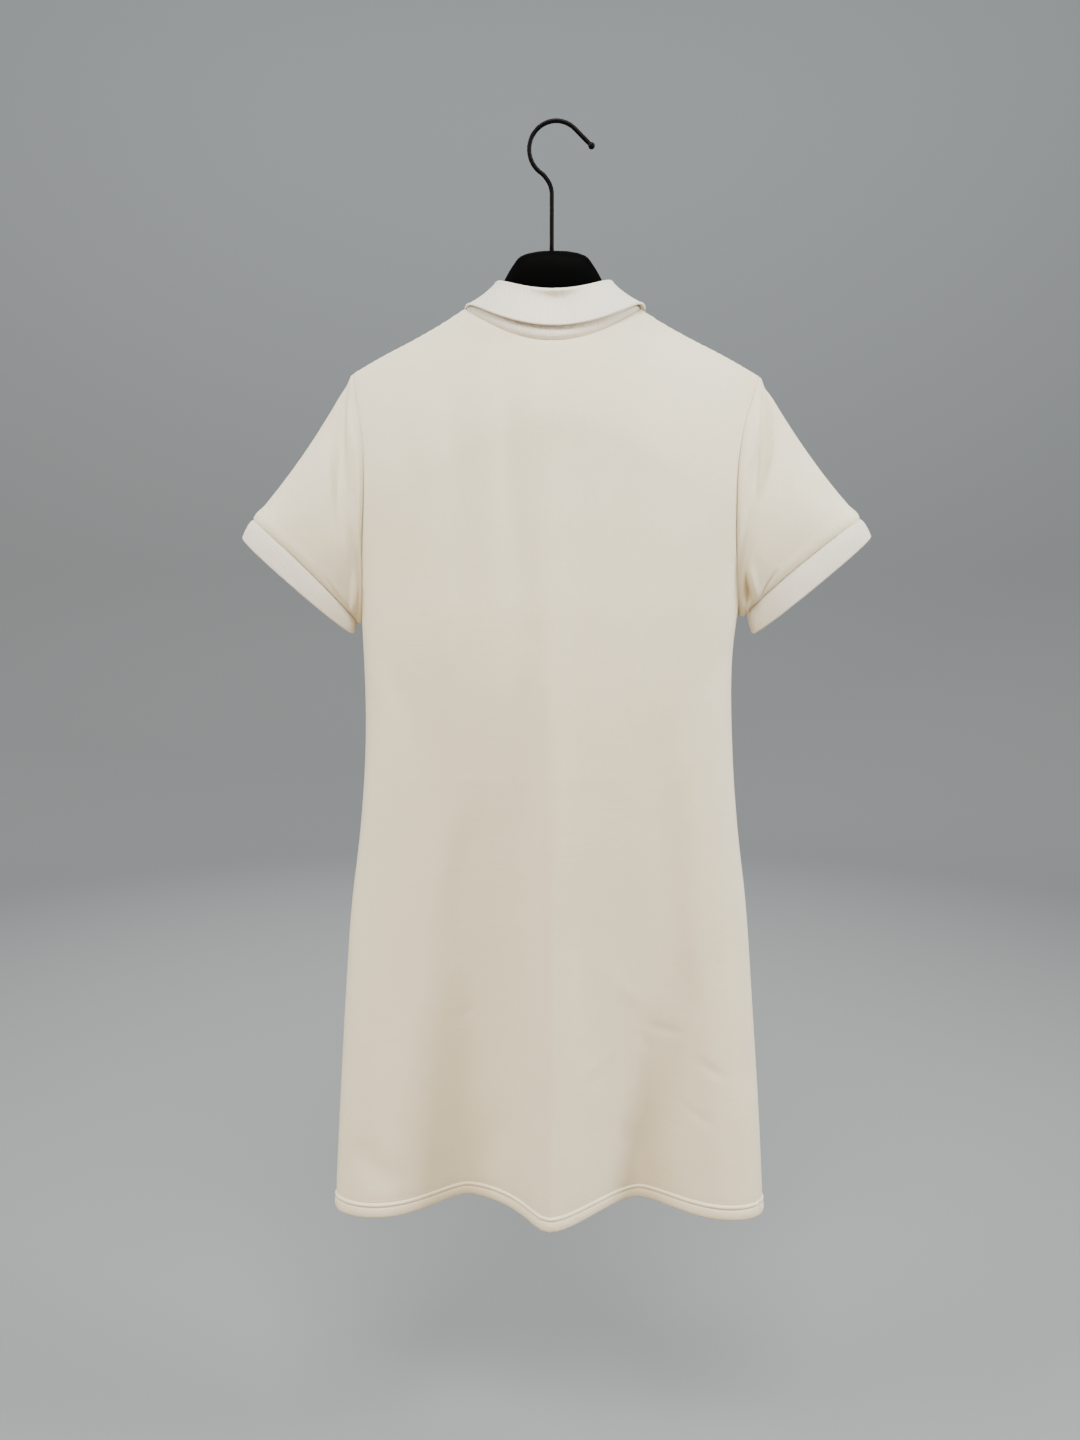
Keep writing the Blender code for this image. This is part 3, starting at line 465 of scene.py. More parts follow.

# %% [markdown]
# ## Creases
#
# Hanging jersey is never quite smooth. Each row below is one soft trough (negative depth) or
# ridge: where it starts and ends on the panel, how far it bows to the side,
# its width and its depth. They fade out at both ends and differ in length and depth.

# %% The tables of creases
BACK_CREASES = {
    "start": ((-2, -172), (36, -200), (18, -420), (17, -700), (-30, -260), (80, -212), (84, -420),
              (70, -590), (-60, -235), (-96, -500), (-118, -720), (88, -557), (10, -560), (-83, -797),
              (66, -776),
              (-26, -836), (-83, -790), (-134, -824), (-122, -870), (-183, -815), (-46, -727),
              (178, -905), (120, -700), (-150, -445), (150, -445), (-30, -640), (62, -850),
              (-142, -600), (130, -235), (-128, -240), (-64, -885), (150, -610), (40, -880)),
    "end": ((-3, -975), (16, -450), (17, -760), (18, -955), (-22, -620), (82, -440), (98, -650),
            (86, -735), (-52, -430), (-127, -790), (-112, -930), (20, -560), (-80, -555), (-94, -822),
            (88, -792),
            (-60, -806), (-126, -803), (-165, -842), (-152, -889), (-187, -866), (-94, -778),
            (140, -952), (150, -840), (-118, -540), (112, -560), (-44, -860), (78, -935),
            (-150, -760), (112, -330), (-112, -350), (-92, -940), (162, -760), (58, -948)),
    "bow": (3, 4, 1, -1, 4, -3, 6, 5, -4, 6, -5, 2, -1, 1, 2, 3, 2, 2, 2, 1, 4, 6, 5, 8, -8, 5, 3,
            3, 4, -4, 4, 5, 3),
    "width": (17, 10, 9, 9, 12, 15, 18, 14, 20, 19, 18, 2.8, 2.8, 3.0, 3.0, 5, 4, 4, 4, 6, 8, 13, 14,
              12, 12, 13, 10, 12, 14, 14, 9, 12, 9),
    "depth": (3.0, -2.6, -2.8, -2.6, -1.4, -3.0, -2.2, -2.8, -1.8, -3.8, -3.0, 0.55, 0.50, -1.0, -0.8,
              1.1, -1.0, -1.1, -1.0, -2.6, 1.0, -1.8, -1.6, -1.6, -1.7, -1.5, 1.1, -1.3, -1.4, -1.5,
              -1.1, -1.2, -1.2),
}
FRONT_CREASES = {
    "start": ((60, -300), (-66, -310), (30, -470), (-34, -480), (104, -560), (-110, -540), (2, -520),
              (-120, -700), (132, -730), (150, -300), (-148, -296), (70, -566), (20, -860), (-60, -880)),
    "end": ((40, -520), (-48, -500), (46, -800), (-30, -860), (140, -800), (-146, -800), (6, -940),
            (-150, -900), (158, -930), (120, -400), (-118, -400), (-90, -562), (44, -940), (-78, -950)),
    "bow": (5, -6, 4, -3, 6, -5, 3, 4, -4, 8, -7, 2, 2, -3),
    "width": (15, 16, 13, 12, 15, 16, 20, 11, 12, 12, 11, 2.6, 8, 9),
    "depth": (-1.6, -1.4, 1.3, -1.5, -1.6, -1.4, 2.0, -1.1, -1.2, -1.3, -1.1, -0.25, -0.8, 0.7),
}
SLEEVE_CREASES = {
    "left": {
        "start": ((152, 3), (144, 3), (26, 18), (40, 30), (18, 60), (70, 104), (110, 60), (162, 6),
                  (200, 70), (262, 50)),
        "end": ((66, 52), (84, 20), (12, 70), (20, 92), (8, 104), (30, 108), (128, 108), (232, 50),
                (214, 112), (288, 92)),
        "bow": (-3, -2, 3, 3, 1, 1, 5, 3, -4, 3),
        "width": (6, 5, 6, 7, 5, 5, 12, 6, 13, 7),
        "depth": (-5.2, 1.6, -2.6, 3.0, -2.6, -1.0, -0.8, -2.6, -1.0, -2.2),
    },
    "right": {
        "start": ((152, 4), (144, 3), (27, 34), (34, 56), (44, 40), (13, 84), (60, 98), (120, 50),
                  (162, 6), (205, 66), (268, 56)),
        "end": ((80, 30), (92, 14), (20, 92), (24, 100), (34, 104), (10, 112), (34, 110), (134, 106),
                (228, 46), (222, 108), (286, 96)),
        "bow": (-6, -2, -2, 2, 3, 2, 2, 6, 3, -4, 3),
        "width": (5.5, 5, 7.5, 3.5, 6, 3.5, 4, 13, 6, 12, 7),
        "depth": (-8.0, 2.6, -8.5, -3.2, 3.0, 2.6, -2.4, -0.9, -2.6, -1.0, -2.0),
    },
}
print("creases:", len(BACK_CREASES["depth"]), "on the back,", len(FRONT_CREASES["depth"]), "on the front")


# %% Pressing the creases into a panel
def crease_depth(creases, across, up):
    """How far a table of creases moves the cloth at each place across and up a panel."""
    total = np.zeros(across.shape)
    for start, end, bow, width, depth in zip(*creases.values()):
        way = np.subtract(end, start).astype(float)
        long = np.linalg.norm(way)
        off_x = across - start[0]
        off_up = up - start[1]
        share = np.clip((off_x * way[0] + off_up * way[1]) / long**2, -0.3, 1.3)
        sideways = (off_up * way[0] - off_x * way[1]) / long - bow * 4 * share * (1 - share)
        inside = np.clip(share, 0, 1)
        past = (share - inside) * long
        fade = (0.02 + 0.98 * np.sin(np.pi * inside)) ** 0.8
        total += depth * fade * np.exp(-(sideways**2 + 4 * past**2) / width**2)
    return total


# %% [markdown]
# ## The back and front panels
#
# Below the armpits the rows run round level sections, from one side seam to the other. Above
# them they rise to the shoulder seams and the neckline. The rows are packed closely near the
# hem, because the turned-up hem is sewn with a twin needle: two lines of stitches 4 mm apart
# pull a ridge up between them, and the doubled cloth below puffs out a little. Rows and
# columns are also packed near the seams, where the edges roll in.


# %% Rows and columns of a panel
SKIRT_LENGTH = 565.0
YOKE_LENGTH = 244.1
YOKE_ROWS = 89
SHOULDER_ANGLE = 28.0


def spread(s, angle):
    """Where a column at s (-1 to 1) lies on a section that starts at that angle."""
    power = 2 / SQUARENESS
    round_to = np.radians(angle + (90 - angle) * (1 - np.abs(s)))
    return np.sign(s) * (np.cos(round_to) / np.cos(np.radians(angle))) ** power


def skirt_row(s, z, side):
    """A row below the armpit, round the section from one side seam to the other."""
    turn = np.where(s < 0, section("turn", z), 0.0)
    power = 2 / SQUARENESS
    angle = np.radians(90 * (1 - np.abs(s)) + side * turn * np.abs(s))
    reach = np.where(s > 0, section("left", z), section("right", z))
    x = np.sign(s) * reach * np.abs(np.cos(angle)) ** power
    lift = np.abs(np.sin(angle)) ** power * np.sign(np.sin(angle))
    facing = side * np.sign(lift + 1e-12)
    back = section("back", z) + fold_depth(BACK_FOLDS, x, z)
    front = section("front", z) + fold_depth(FRONT_FOLDS, x, z)
    return np.stack([x, side * lift * np.where(facing > 0, back, front), z], axis=-1)


def armhole_x(part, hand):
    """Distance of the armhole seam from the middle, part of the way from armpit to tip."""
    line = ARMHOLE[hand]
    return smooth(line["z"], line["x"], line["z"][0] + (line["z"][-1] - line["z"][0]) * part)


def yoke_row(s, part, pit, neck_column, side):
    """A row from the armpits (part 0) to the shoulders and neckline (part 1)."""
    reach = np.where(s > 0, armhole_x(part, "left"), armhole_x(part, "right"))
    tip = np.where(s > 0, SHOULDER_TIP["left"], SHOULDER_TIP["right"])
    neck_x = np.abs(NECK_MIDDLE + np.sign(s) * NECK["half"])
    at_pit = np.abs(spread(s, 0.0))
    shoulder = np.abs(spread(s, SHOULDER_ANGLE))
    neck_here = spread(neck_column, SHOULDER_ANGLE)
    neck_part = neck_x / tip
    inside = neck_part * np.sin(np.pi / 2 * np.minimum(np.abs(s) / neck_column, 1))
    outside = neck_part + (shoulder - neck_here) * (1 - neck_part) / (1 - neck_here)
    at_top = np.where(np.abs(s) <= neck_column + 1e-9, inside, outside)
    top_x = np.sign(s) * tip * at_top
    in_neck = np.abs(s) < neck_column + 1e-9
    top_z = np.where(in_neck, neckline(top_x, side), shoulder_line(top_x))
    x = np.sign(s) * reach * (at_pit + (at_top - at_pit) * part)
    z = pit + (top_z - pit) * part
    y = depth_at(x, z, side)
    if part > 0.999:
        from_point = np.abs(np.abs(s) - neck_column) / 0.02
        y = y * np.sqrt(np.clip(from_point, 0, 1))
    return np.stack([x, y, z], axis=-1)


def panel_grid(side, count, slot=0.0):
    """A panel's points, from the hem up and from the wearer's right to left."""
    neck_column = BACK_NECK_COLUMN if side > 0 else FRONT_NECK_COLUMN
    near_seam = 1 - np.array([0.5, 1.1, 1.9, 3.0]) / 240
    stations = set(np.linspace(-1, 1, count + 1)) | set(near_seam) | set(-near_seam)
    stations |= {neck_column, -neck_column}
    if slot:
        stations |= {slot, -slot}
    s = np.array(sorted(stations))
    s = s[np.concatenate([[True], np.diff(s) > 1e-5])]
    pit = (ARMPIT["left"] + ARMPIT["right"]) / 2 + s * (ARMPIT["left"] - ARMPIT["right"]) / 2
    up_hem = np.concatenate([[0, 0.25, 0.6, 1.1], np.arange(1.8, 9.0, 1.2), np.arange(9.0, 17.0, 0.45),
                             np.arange(17.0, 27.0, 2.0), np.linspace(28.0, SKIRT_LENGTH, 165)])
    up_yoke = np.concatenate([np.linspace(0, 236, YOKE_ROWS - 5),
                              [239, 241.2, 242.6, 243.5, YOKE_LENGTH]])
    rows = [skirt_row(s, HEM + (pit - HEM) * up / SKIRT_LENGTH, side) for up in up_hem[:-1]]
    rows += [yoke_row(s, up / YOKE_LENGTH, pit, neck_column, side) for up in up_yoke]
    return np.array(rows), s


back_grid, back_stations = panel_grid(1, 128)
front_grid, front_stations = panel_grid(-1, 100, SLOT_STATION)
print("back grid", back_grid.shape[:2], "front grid", front_grid.shape[:2])

# %% Hem, seam edges and creases, then the two shells
CLOTH_HALF = 0.6
HEM_LOW_NEEDLE = 10.4
HEM_HIGH_NEEDLE = 14.8
HEM_EDGE = 16.5


def hem_outside(up):
    """How far the outer face of the turned-up hem stands out, at each height above its edge."""
    between = (up - HEM_LOW_NEEDLE) / (HEM_HIGH_NEEDLE - HEM_LOW_NEEDLE)
    puff = 0.95 * np.sin(np.pi * np.clip(up / HEM_LOW_NEEDLE, 0, 1)) ** 0.8
    ridge = 0.95 * np.sin(np.pi * np.clip(between, 0, 1)) ** 0.9
    lines = np.exp(-((up - HEM_LOW_NEEDLE) / 0.55) ** 2) + np.exp(-((up - HEM_HIGH_NEEDLE) / 0.6) ** 2)
    tuck = -0.35 * np.exp(-((up - HEM_HIGH_NEEDLE - 2.2) / 2.0) ** 2)
    return puff + ridge - 0.80 * lines + tuck


def cloth_panel(name, points, side, creases, keep=None):
    """A body panel: creased, hemmed, with rolled-in seam edges."""
    like = np.array([0.0, side, 0.0])
    normals = grid_normals(points, False, like)
    up = lengths(points, 0)
    to_top = up[-1][None, :] - up
    across = lengths(points, 1)
    to_side = np.minimum(across, across[:, -1:] - across)
    calm = np.clip(to_side / 14, 0, 1) * np.clip(to_top / 10, 0, 1) * np.clip(up / 25, 0.35, 1)
    move = crease_depth(creases, points[..., 0], points[..., 2]) * calm
    pucker = 0.22 * np.sin(across * 2 * np.pi / 6.5 + 1.7 * np.sin(across / 17))
    move += pucker * np.exp(-((to_top - 3.5) / 2.6) ** 2)
    move += 0.5 * pucker * np.exp(-((to_side - 3.2) / 2.2) ** 2)
    move += 0.25 * pucker * np.exp(-((up - HEM_HIGH_NEEDLE - 3.0) / 2.2) ** 2)
    points = points + normals * move[..., None]
    normals = grid_normals(points, False, like)
    rolled = round_edge(to_side, 1.8) * round_edge(to_top, 1.8)
    edge = round_edge(up, 1.7)
    below_arm = points[..., 2] < min(ARMPIT.values()) - 4
    roll_in = (0.40 + 0.5 * below_arm) * np.exp(-(to_side / 1.3) ** 2)
    roll_in += 0.60 * np.exp(-(to_top / 1.4) ** 2)
    outside = (CLOTH_HALF + hem_outside(up)) * edge * rolled - roll_in * edge
    turned = 0.9 * (1 - 1 / (1 + np.exp(-(up - HEM_EDGE) / 0.25)))
    inside = (CLOTH_HALF + turned) * edge * rolled + roll_in * edge
    return shell(name, points, normals, outside, inside, body_knit, keep=keep), points, normals, outside


back_cloth, back_points, back_normals, back_outside = cloth_panel(
    "back_cloth", back_grid, 1, BACK_CREASES)
slot_row = len(front_grid) - YOKE_ROWS + round(SLOT_PART * (YOKE_ROWS - 1))
keep_cells = np.ones((len(front_grid) - 1, len(front_stations) - 1), bool)
in_slot = (front_stations[:-1] > -SLOT_STATION - 1e-6) & (front_stations[1:] < SLOT_STATION + 1e-6)
keep_cells[slot_row:, in_slot] = False
front_cloth, front_points, front_normals, front_outside = cloth_panel(
    "front_cloth", front_grid, -1, FRONT_CREASES, keep_cells)

# %% [markdown]
# ## Sleeves and cuffs
#
# A set-in sleeve is a tube from the armhole to the cuff. Its rings are blended from one to the
# other, and sag a little under the arm. Beside the armhole seam the sleeve head stands up in a
# soft ridge, with a dark hollow next to it. The cuff is a tighter rib band, so the sleeve
# swells just above it and dips into the seam.


# %% Rings from the armhole to the cuff
UNDER_SAG = {"left": 7.0, "right": 10.0}


def armhole_ring(hand, count):
    """The armhole's points from the armpit up the back and down the front, evenly spaced."""
    sign = 1 if hand == "left" else -1
    pit = ARMPIT[hand]
    top = float(shoulder_line(SHOULDER_TIP[hand]))
    parts = np.linspace(0, 1, 900)
    x = sign * armhole_x(parts, hand)
    z = pit + (top - pit) * parts
    halves = []
    for side in (1, -1):
        line = np.stack([x, depth_at(x, z, side), z], axis=-1)
        travelled = np.concatenate([[0], np.cumsum(np.linalg.norm(np.diff(line, axis=0), axis=1))])
        even = np.linspace(0, travelled[-1], count + 1)
        halves.append(np.stack([np.interp(even, travelled, line[:, k]) for k in range(3)], axis=-1))
    return np.concatenate([halves[0], halves[1][::-1][1:-1]])


def ring_angles(ring):
    """The angle of each point of a ring by its share of the way round, 0 under the arm."""
    steps = np.linalg.norm(np.roll(ring, -1, axis=0) - ring, axis=1)
    travelled = np.concatenate([[0], np.cumsum(steps)[:-1]])
    top = len(ring) // 2
    up = travelled[:top] / travelled[top] * np.pi
    down = np.pi + (travelled[top:] - travelled[top]) / (steps.sum() - travelled[top]) * np.pi
    return np.concatenate([up, down])


def cuff_ring(hand, share, around):
    """A ring of the cuff, from its seam (share 0) to its free edge (share 1)."""
    sign = 1 if hand == "left" else -1
    sizes = CUFFS[hand]
    top = np.array(sizes["seam_top"]) * (1 - share) + np.array(sizes["edge_top"]) * share
    under = np.array(sizes["seam_under"]) * (1 - share) + np.array(sizes["edge_under"]) * share
    middle = (top + under) / 2
    half = (top - under) / 2
    inward = unit(np.array([-half[1], half[0]]))
    bow = CUFF_BOW * (1 - share)
    length = np.sign(np.cos(around)) * np.abs(np.cos(around)) ** CUFF_SQUARENESS
    x = middle[0] - half[0] * length + inward[0] * bow * np.sin(around) ** 2
    z = middle[1] - half[1] * length + inward[1] * bow * np.sin(around) ** 2
    y = CUFF_DEPTH * np.sign(np.sin(around)) * np.abs(np.sin(around)) ** CUFF_SQUARENESS
    return np.stack([sign * x, y, z], axis=-1)


def sleeve_grid(hand, armhole, around, parts):
    """A sleeve's rings from the armhole to the cuff's seam."""
    sign = 1 if hand == "left" else -1
    target = cuff_ring(hand, 0.0, around)
    height = (1 - np.cos(around))[:, None] / 2
    out_y = np.sin(around)[:, None] * np.array([0.0, 1.0, 0.0])
    sag = height * np.array([-6.0 * sign, 0.0, -6.0])
    sag = sag + (1 - height) * np.array([0.0, 0.0, -UNDER_SAG[hand]])
    middle = (armhole + target) / 2 + sag + out_y * 9.0
    rows = []
    for part in parts:
        lead = (1 - part) ** 2 * armhole + 2 * part * (1 - part) * middle + part**2 * target
        swell = 4.5 * math.exp(-((part - 0.07) / 0.05) ** 2)
        swell -= 7.0 * math.exp(-((part - 0.22) / 0.09) ** 2)
        rows.append(lead + out_y * swell * height * min(1.0, part * 30))
    return np.array(rows)


# %% The sleeves and the cuffs
SLEEVE_MAP = (300.0, 118.0)
CUFF_HALF = 0.95
sleeve_cloths = {}
cuff_ribs = {}
for hand in ("left", "right"):
    armhole = armhole_ring(hand, 64)
    around = ring_angles(armhole)
    parts = np.concatenate([[0, 0.004, 0.009, 0.016, 0.026], np.linspace(0.04, 0.955, 62),
                            [0.966, 0.976, 0.984, 0.991, 0.996, 1.0]])
    points = sleeve_grid(hand, armhole, around, parts)
    like = points - points.mean(axis=1, keepdims=True)
    normals = grid_normals(points, True, like)
    on_map = np.broadcast_to(around / (2 * np.pi) * SLEEVE_MAP[0], points.shape[:2])
    up_map = np.broadcast_to((parts * SLEEVE_MAP[1])[:, None], points.shape[:2])
    from_armhole = lengths(points, 0)
    from_cuff = from_armhole[-1][None, :] - from_armhole
    calm = np.clip(from_armhole / 12, 0, 1) * np.clip(from_cuff / 6, 0, 1)
    move = crease_depth(SLEEVE_CREASES[hand], on_map, up_map) * calm
    move += 1.0 * np.exp(-((from_cuff - 7.0) / 5.0) ** 2) - 1.1 * np.exp(-(from_cuff / 1.7) ** 2)
    wave = np.sin(lengths(points, 1) * 2 * np.pi / 7.0 + 2 * np.sin(lengths(points, 1) / 23))
    move += 0.16 * wave * np.exp(-((from_cuff - 3.5) / 2.2) ** 2)
    move += 0.16 * wave * np.exp(-((from_armhole - 3.5) / 2.2) ** 2)
    points = points + normals * move[..., None]
    normals = grid_normals(points, True, like)
    rolled = round_edge(from_armhole, 1.8) * round_edge(from_cuff, 1.6)
    roll_in = 0.35 * np.exp(-(from_armhole / 1.3) ** 2)
    sleeve_cloths[hand] = shell("sleeve_cloth_" + hand, points, normals, CLOTH_HALF * rolled - roll_in,
                                CLOTH_HALF * rolled + roll_in, body_knit, closed=True)
    shares = np.concatenate([[0, 0.02, 0.05, 0.1], np.linspace(0.17, 0.86, 12), [0.91, 0.95, 0.98, 1.0]])
    band = np.array([cuff_ring(hand, share, around) for share in shares])
    like = band - band.mean(axis=1, keepdims=True)
    normals = grid_normals(band, True, like)
    down = lengths(band, 0)
    to_edge = down[-1][None, :] - down
    flare = 0.7 * np.sin(np.pi * shares)[:, None] * np.ones(down.shape)
    stitched = -0.3 * np.exp(-((down - 3.0) / 0.9) ** 2)
    rolled = round_edge(down, 1.6) * round_edge(to_edge, 1.3)
    roll_in = 0.9 * np.exp(-(down / 1.5) ** 2)
    outside = (CUFF_HALF + flare + stitched) * rolled - roll_in
    inside = (CUFF_HALF - flare * 0.5) * rolled + roll_in
    cuff_ribs[hand] = shell("cuff_rib_" + hand, band, normals, outside, inside, rib_knit, closed=True)

# %% [markdown]
# ## Neck band and collar
#
# The neckline is bound by a rounded band that stands proud of the cloth. From its top the
# collar rises inside, folds over and falls outside again, so one grid can make all of it: a
# stand, a half-round fold and the fall. Behind, the free edge curves with the neck, and the
# fold sinks in at the middle. In front, the two leaves run out to the collar points and lie on
# the chest.


# %% The neckline and the rings that follow it
def neck_path(steps):
    """The neckline from the centre front, round by the back, to the centre front again."""
    half = COLLAR_OPENING / 2
    start = math.asin(half / NECK["half"])
    quarter = np.linspace(start, math.pi / 2, steps)[:-1]
    whole = np.linspace(-math.pi / 2, math.pi / 2, 2 * steps)
    turns = [(-quarter, -1), (whole, 1), (quarter[::-1], -1)]
    path = []
    sides = []
    for angles, side in turns:
        x = NECK_MIDDLE + NECK["half"] * np.sin(angles)
        if side < 0:
            x = np.sign(np.sin(angles)) * np.maximum(np.abs(x), half)
        z = neckline(x, side)
        near = np.clip((np.pi / 2 - np.abs(angles)) / 0.12, 0, 1)
        path.append(np.stack([x, depth_at(x, z, side) * np.sqrt(near), z], axis=-1))
        sides.append(np.full(len(angles), side))
    return np.concatenate(path), np.concatenate(sides), np.concatenate([t[0] for t in turns])


def ring_at(ring, sides, angles):
    """One of the collar's rings, in step with the neckline."""
    sine = np.sin(angles)
    cosine = np.cos(angles)
    drop = np.where(sides > 0, ring["back_drop"], ring["front_drop"])
    reach = np.where(sides > 0, ring["back"], -ring["front"])
    x = ring["middle"] + ring["half"] * sine
    return np.stack([x, reach * cosine, ring["side"] - drop * cosine**2], axis=-1)


def fall_edge(sides, angles):
    """The collar's free edge: round the back, and out to the collar points in front."""
    edge = ring_at(FALL, sides, angles)
    share = np.where(sides > 0, 0.0, 1 - np.abs(angles) / (np.pi / 2))
    hand = np.sign(np.sin(angles))
    reach = FALL["half"] + (COLLAR_POINT["x"] - FALL["half"]) * share**2
    x = hand * reach + FALL["middle"] * (1 - share)
    z = FALL["side"] + (COLLAR_POINT["z"] - FALL["side"]) * share**1.15
    leaf = np.stack([x, depth_at(x, z, -1) - LEAF_CLEARANCE, z], axis=-1)
    return np.where(share[:, None] > 0, leaf, edge), share


def hollow_share(down):
    """How much of the hollow shows at each share of the way down: deepest a third down."""
    return np.sin(np.pi * down**0.6) ** 1.5


neck, neck_sides, neck_angles = neck_path(44)
print("neckline points:", len(neck))

# %% The band and the collar
STAND_ROWS = 11
TURN_ROWS = 10
FALL_FROM = STAND_ROWS + TURN_ROWS
SOFTEN_FROM = FALL_FROM + 3
EDGE_DROP = 4.6
HOLLOW = 9.0
BAND_ROWS = np.array([0, 0.03, 0.08, 0.15, 0.25, 0.36, 0.48, 0.6, 0.72, 0.83, 0.92, 1.0])
band_top = ring_at(BAND_TOP, neck_sides, neck_angles)
band_grid = np.array([neck + (band_top - neck) * share for share in BAND_ROWS])
outward = neck * np.array([1.0, 1.0, 0.0]) + np.array([0.0, 0.0, 60.0])
band_normals = grid_normals(band_grid, False, np.broadcast_to(outward, band_grid.shape))
band_up = lengths(band_grid, 0)
band_along = lengths(band_grid, 1)
tall = band_up[-1][None, :] / band_up[-1].max()
crown = 2.4 * np.sin(np.pi * np.clip(BAND_ROWS * 1.02, 0, 1))[:, None] ** 0.75 * tall**0.5
ends = round_edge(np.minimum(band_along, band_along[:, -1:] - band_along), 1.4)
tuck_in = 1.0 * np.exp(-(band_up / 1.3) ** 2)
band_out = (0.75 + crown) * ends * round_edge(band_up, 1.5) - tuck_in
band_in = 0.75 * ends * round_edge(band_up, 1.2) + tuck_in
band_rib = shell("band_rib", band_grid, band_normals, band_out, band_in, rib_knit)

fold_ring = ring_at(FOLD, neck_sides, neck_angles)
edge_ring, leaf_share = fall_edge(neck_sides, neck_angles)
edge_ring[:, 2] -= EDGE_DROP * np.exp(-((np.abs(neck_angles) - np.pi / 2) / 0.30) ** 2)
leaf = leaf_share[:, None]
up_z = np.array([0.0, 0.0, 1.0])
outward = unit((fold_ring - band_top) * np.array([-1.0, -1.0, 0.0]) + 1e-6 * up_z)
inner_ring = fold_ring - outward * FOLD_RADIUS
outer_ring = fold_ring + outward * FOLD_RADIUS
collar_rows = [band_top + (inner_ring - band_top) * t for t in np.linspace(0, 1, STAND_ROWS + 1)[:-1]]
for turn in np.radians(np.linspace(180, 0, TURN_ROWS + 1)[:-1]):
    collar_rows.append(fold_ring + (outward * math.cos(turn) + up_z * math.sin(turn)) * FOLD_RADIUS)
sideways = np.abs(outward[:, :1]) ** 2 * (1 - leaf)
hollow = -sideways * 3.0 * (outward * 0.62 + up_z * 0.78)
belly = (1 - sideways) * (1 - leaf) * 3.0 * outward
middle_ring = (outer_ring + edge_ring) / 2 + hollow + belly
clear = LEAF_CLEARANCE * np.clip(1 + leaf_share, 0, 1.1)
for t in np.concatenate([np.linspace(0, 0.9, 26), [0.925, 0.945, 0.96, 0.972, 0.982, 0.991, 1.0]]):
    row = (1 - t) ** 2 * outer_ring + 2 * t * (1 - t) * middle_ring + t * t * edge_ring
    limit = depth_at(row[:, 0], row[:, 2], -1) - clear
    near = np.minimum(row[:, 1], limit)
    row[:, 1] = np.where(leaf_share > 0, near, row[:, 1])
    collar_rows.append(row)
collar_grid = np.array(collar_rows)
for step in range(6):
    soft = collar_grid.copy()
    low = collar_grid[SOFTEN_FROM - 1:]
    soft[SOFTEN_FROM:-1, 1:-1] = (low[:-2, 1:-1] + low[2:, 1:-1] + low[1:-1, :-2] + low[1:-1, 2:]
                                  + 2 * low[1:-1, 1:-1]) / 6
    front_part = (leaf_share > 0.02)[None, :, None]
    collar_grid = np.where(front_part, soft, collar_grid)
sunk = HOLLOW * np.exp(-((neck_angles + 0.05) / 0.42) ** 2) * (neck_sides > 0)
sunk -= 0.9 * np.exp(-((np.abs(neck_angles) - 0.95) / 0.25) ** 2) * (neck_sides > 0)
down_fall = hollow_share(np.linspace(0, 1, len(collar_grid) - FALL_FROM))[:, None]
down_stand = hollow_share(np.linspace(1, 0, STAND_ROWS))[:, None]
collar_grid[FALL_FROM:] -= (down_fall * sunk)[..., None] * outward
collar_grid[:STAND_ROWS] -= (down_stand * np.maximum(sunk, 0) * 0.85)[..., None] * outward
like = np.zeros(collar_grid.shape)
like[:STAND_ROWS] = -outward
like[FALL_FROM:] = outward
like[FALL_FROM:, :, 1] += np.sign(outward[:, 1])
collar_normals = grid_normals(collar_grid, False, like)
collar_down = lengths(collar_grid, 0)
to_edge = collar_down[-1][None, :] - collar_down
collar_along = lengths(collar_grid, 1)
to_end = np.minimum(collar_along, collar_along[:, -1:] - collar_along)
bead = 0.35 * np.exp(-((to_edge - 1.2) / 0.9) ** 2) - 0.2 * np.exp(-((to_edge - 3.0) / 0.8) ** 2)
collar_half = 0.75 * round_edge(to_edge, 1.2) * round_edge(to_end, 1.2)
collar_out = collar_half + bead * round_edge(to_edge, 1.2)
collar_rib = shell("collar_rib", collar_grid, collar_normals, collar_out, collar_half, rib_knit)

# %% [markdown]
# ## Placket, buttons and their threads
#
# The front opens in a short placket: one strip lies outside the slash with the buttonholes,
# and one inside it carries the buttons. Each strip is made from the same surface as the front
# panel, moved out by its own thickness. A button is a turned disc with a rim and four holes.


# %% The placket strips
STRIP_HALF = 0.6
STRIP_STEP = 1.3
slot_z = float(front_grid[slot_row, np.argmin(np.abs(front_stations)), 2])


def placket_strip(name, half, way, foot):
    """A strip on the front's slash, outside (way 1) or inside (way -1) the front panel."""
    x = np.concatenate([[-half, -half + 0.4, -half + 1.0], np.linspace(-half + 2, half - 2, 20),
                        [half - 1.0, half - 0.4, half]])
    rows = []
    for share in np.concatenate([[0, 0.004, 0.009], np.linspace(0.02, 0.985, 54), [0.992, 1.0]]):
        low = slot_z - foot
        z = low + (neckline(x, -1) - 2.2 - low) * share
        rows.append(np.stack([x, depth_at(x, z, -1), z], axis=-1))
    points = np.array(rows)
    normals = grid_normals(points, False, np.array([0.0, -1.0, 0.0]))
    up = lengths(points, 0)
    across = lengths(points, 1)
    rim = np.minimum(np.minimum(across, across[:, -1:] - across), np.minimum(up, up[-1:] - up))
    sewn = -0.28 * np.exp(-((rim - 2.6) / 0.7) ** 2)
    points = points + normals * STRIP_STEP * way
    thick = STRIP_HALF * round_edge(rim, 1.0)
    outside = thick + (sewn if way > 0 else 0)
    return shell(name, points, normals, outside, thick, body_knit), points, normals


placket_upper, strip_points, strip_normals = placket_strip("placket_upper", PLACKET_HALF, 1, 10.0)
placket_lower, _, _ = placket_strip("placket_lower", PLACKET_HALF - 1, -1, 8.0)


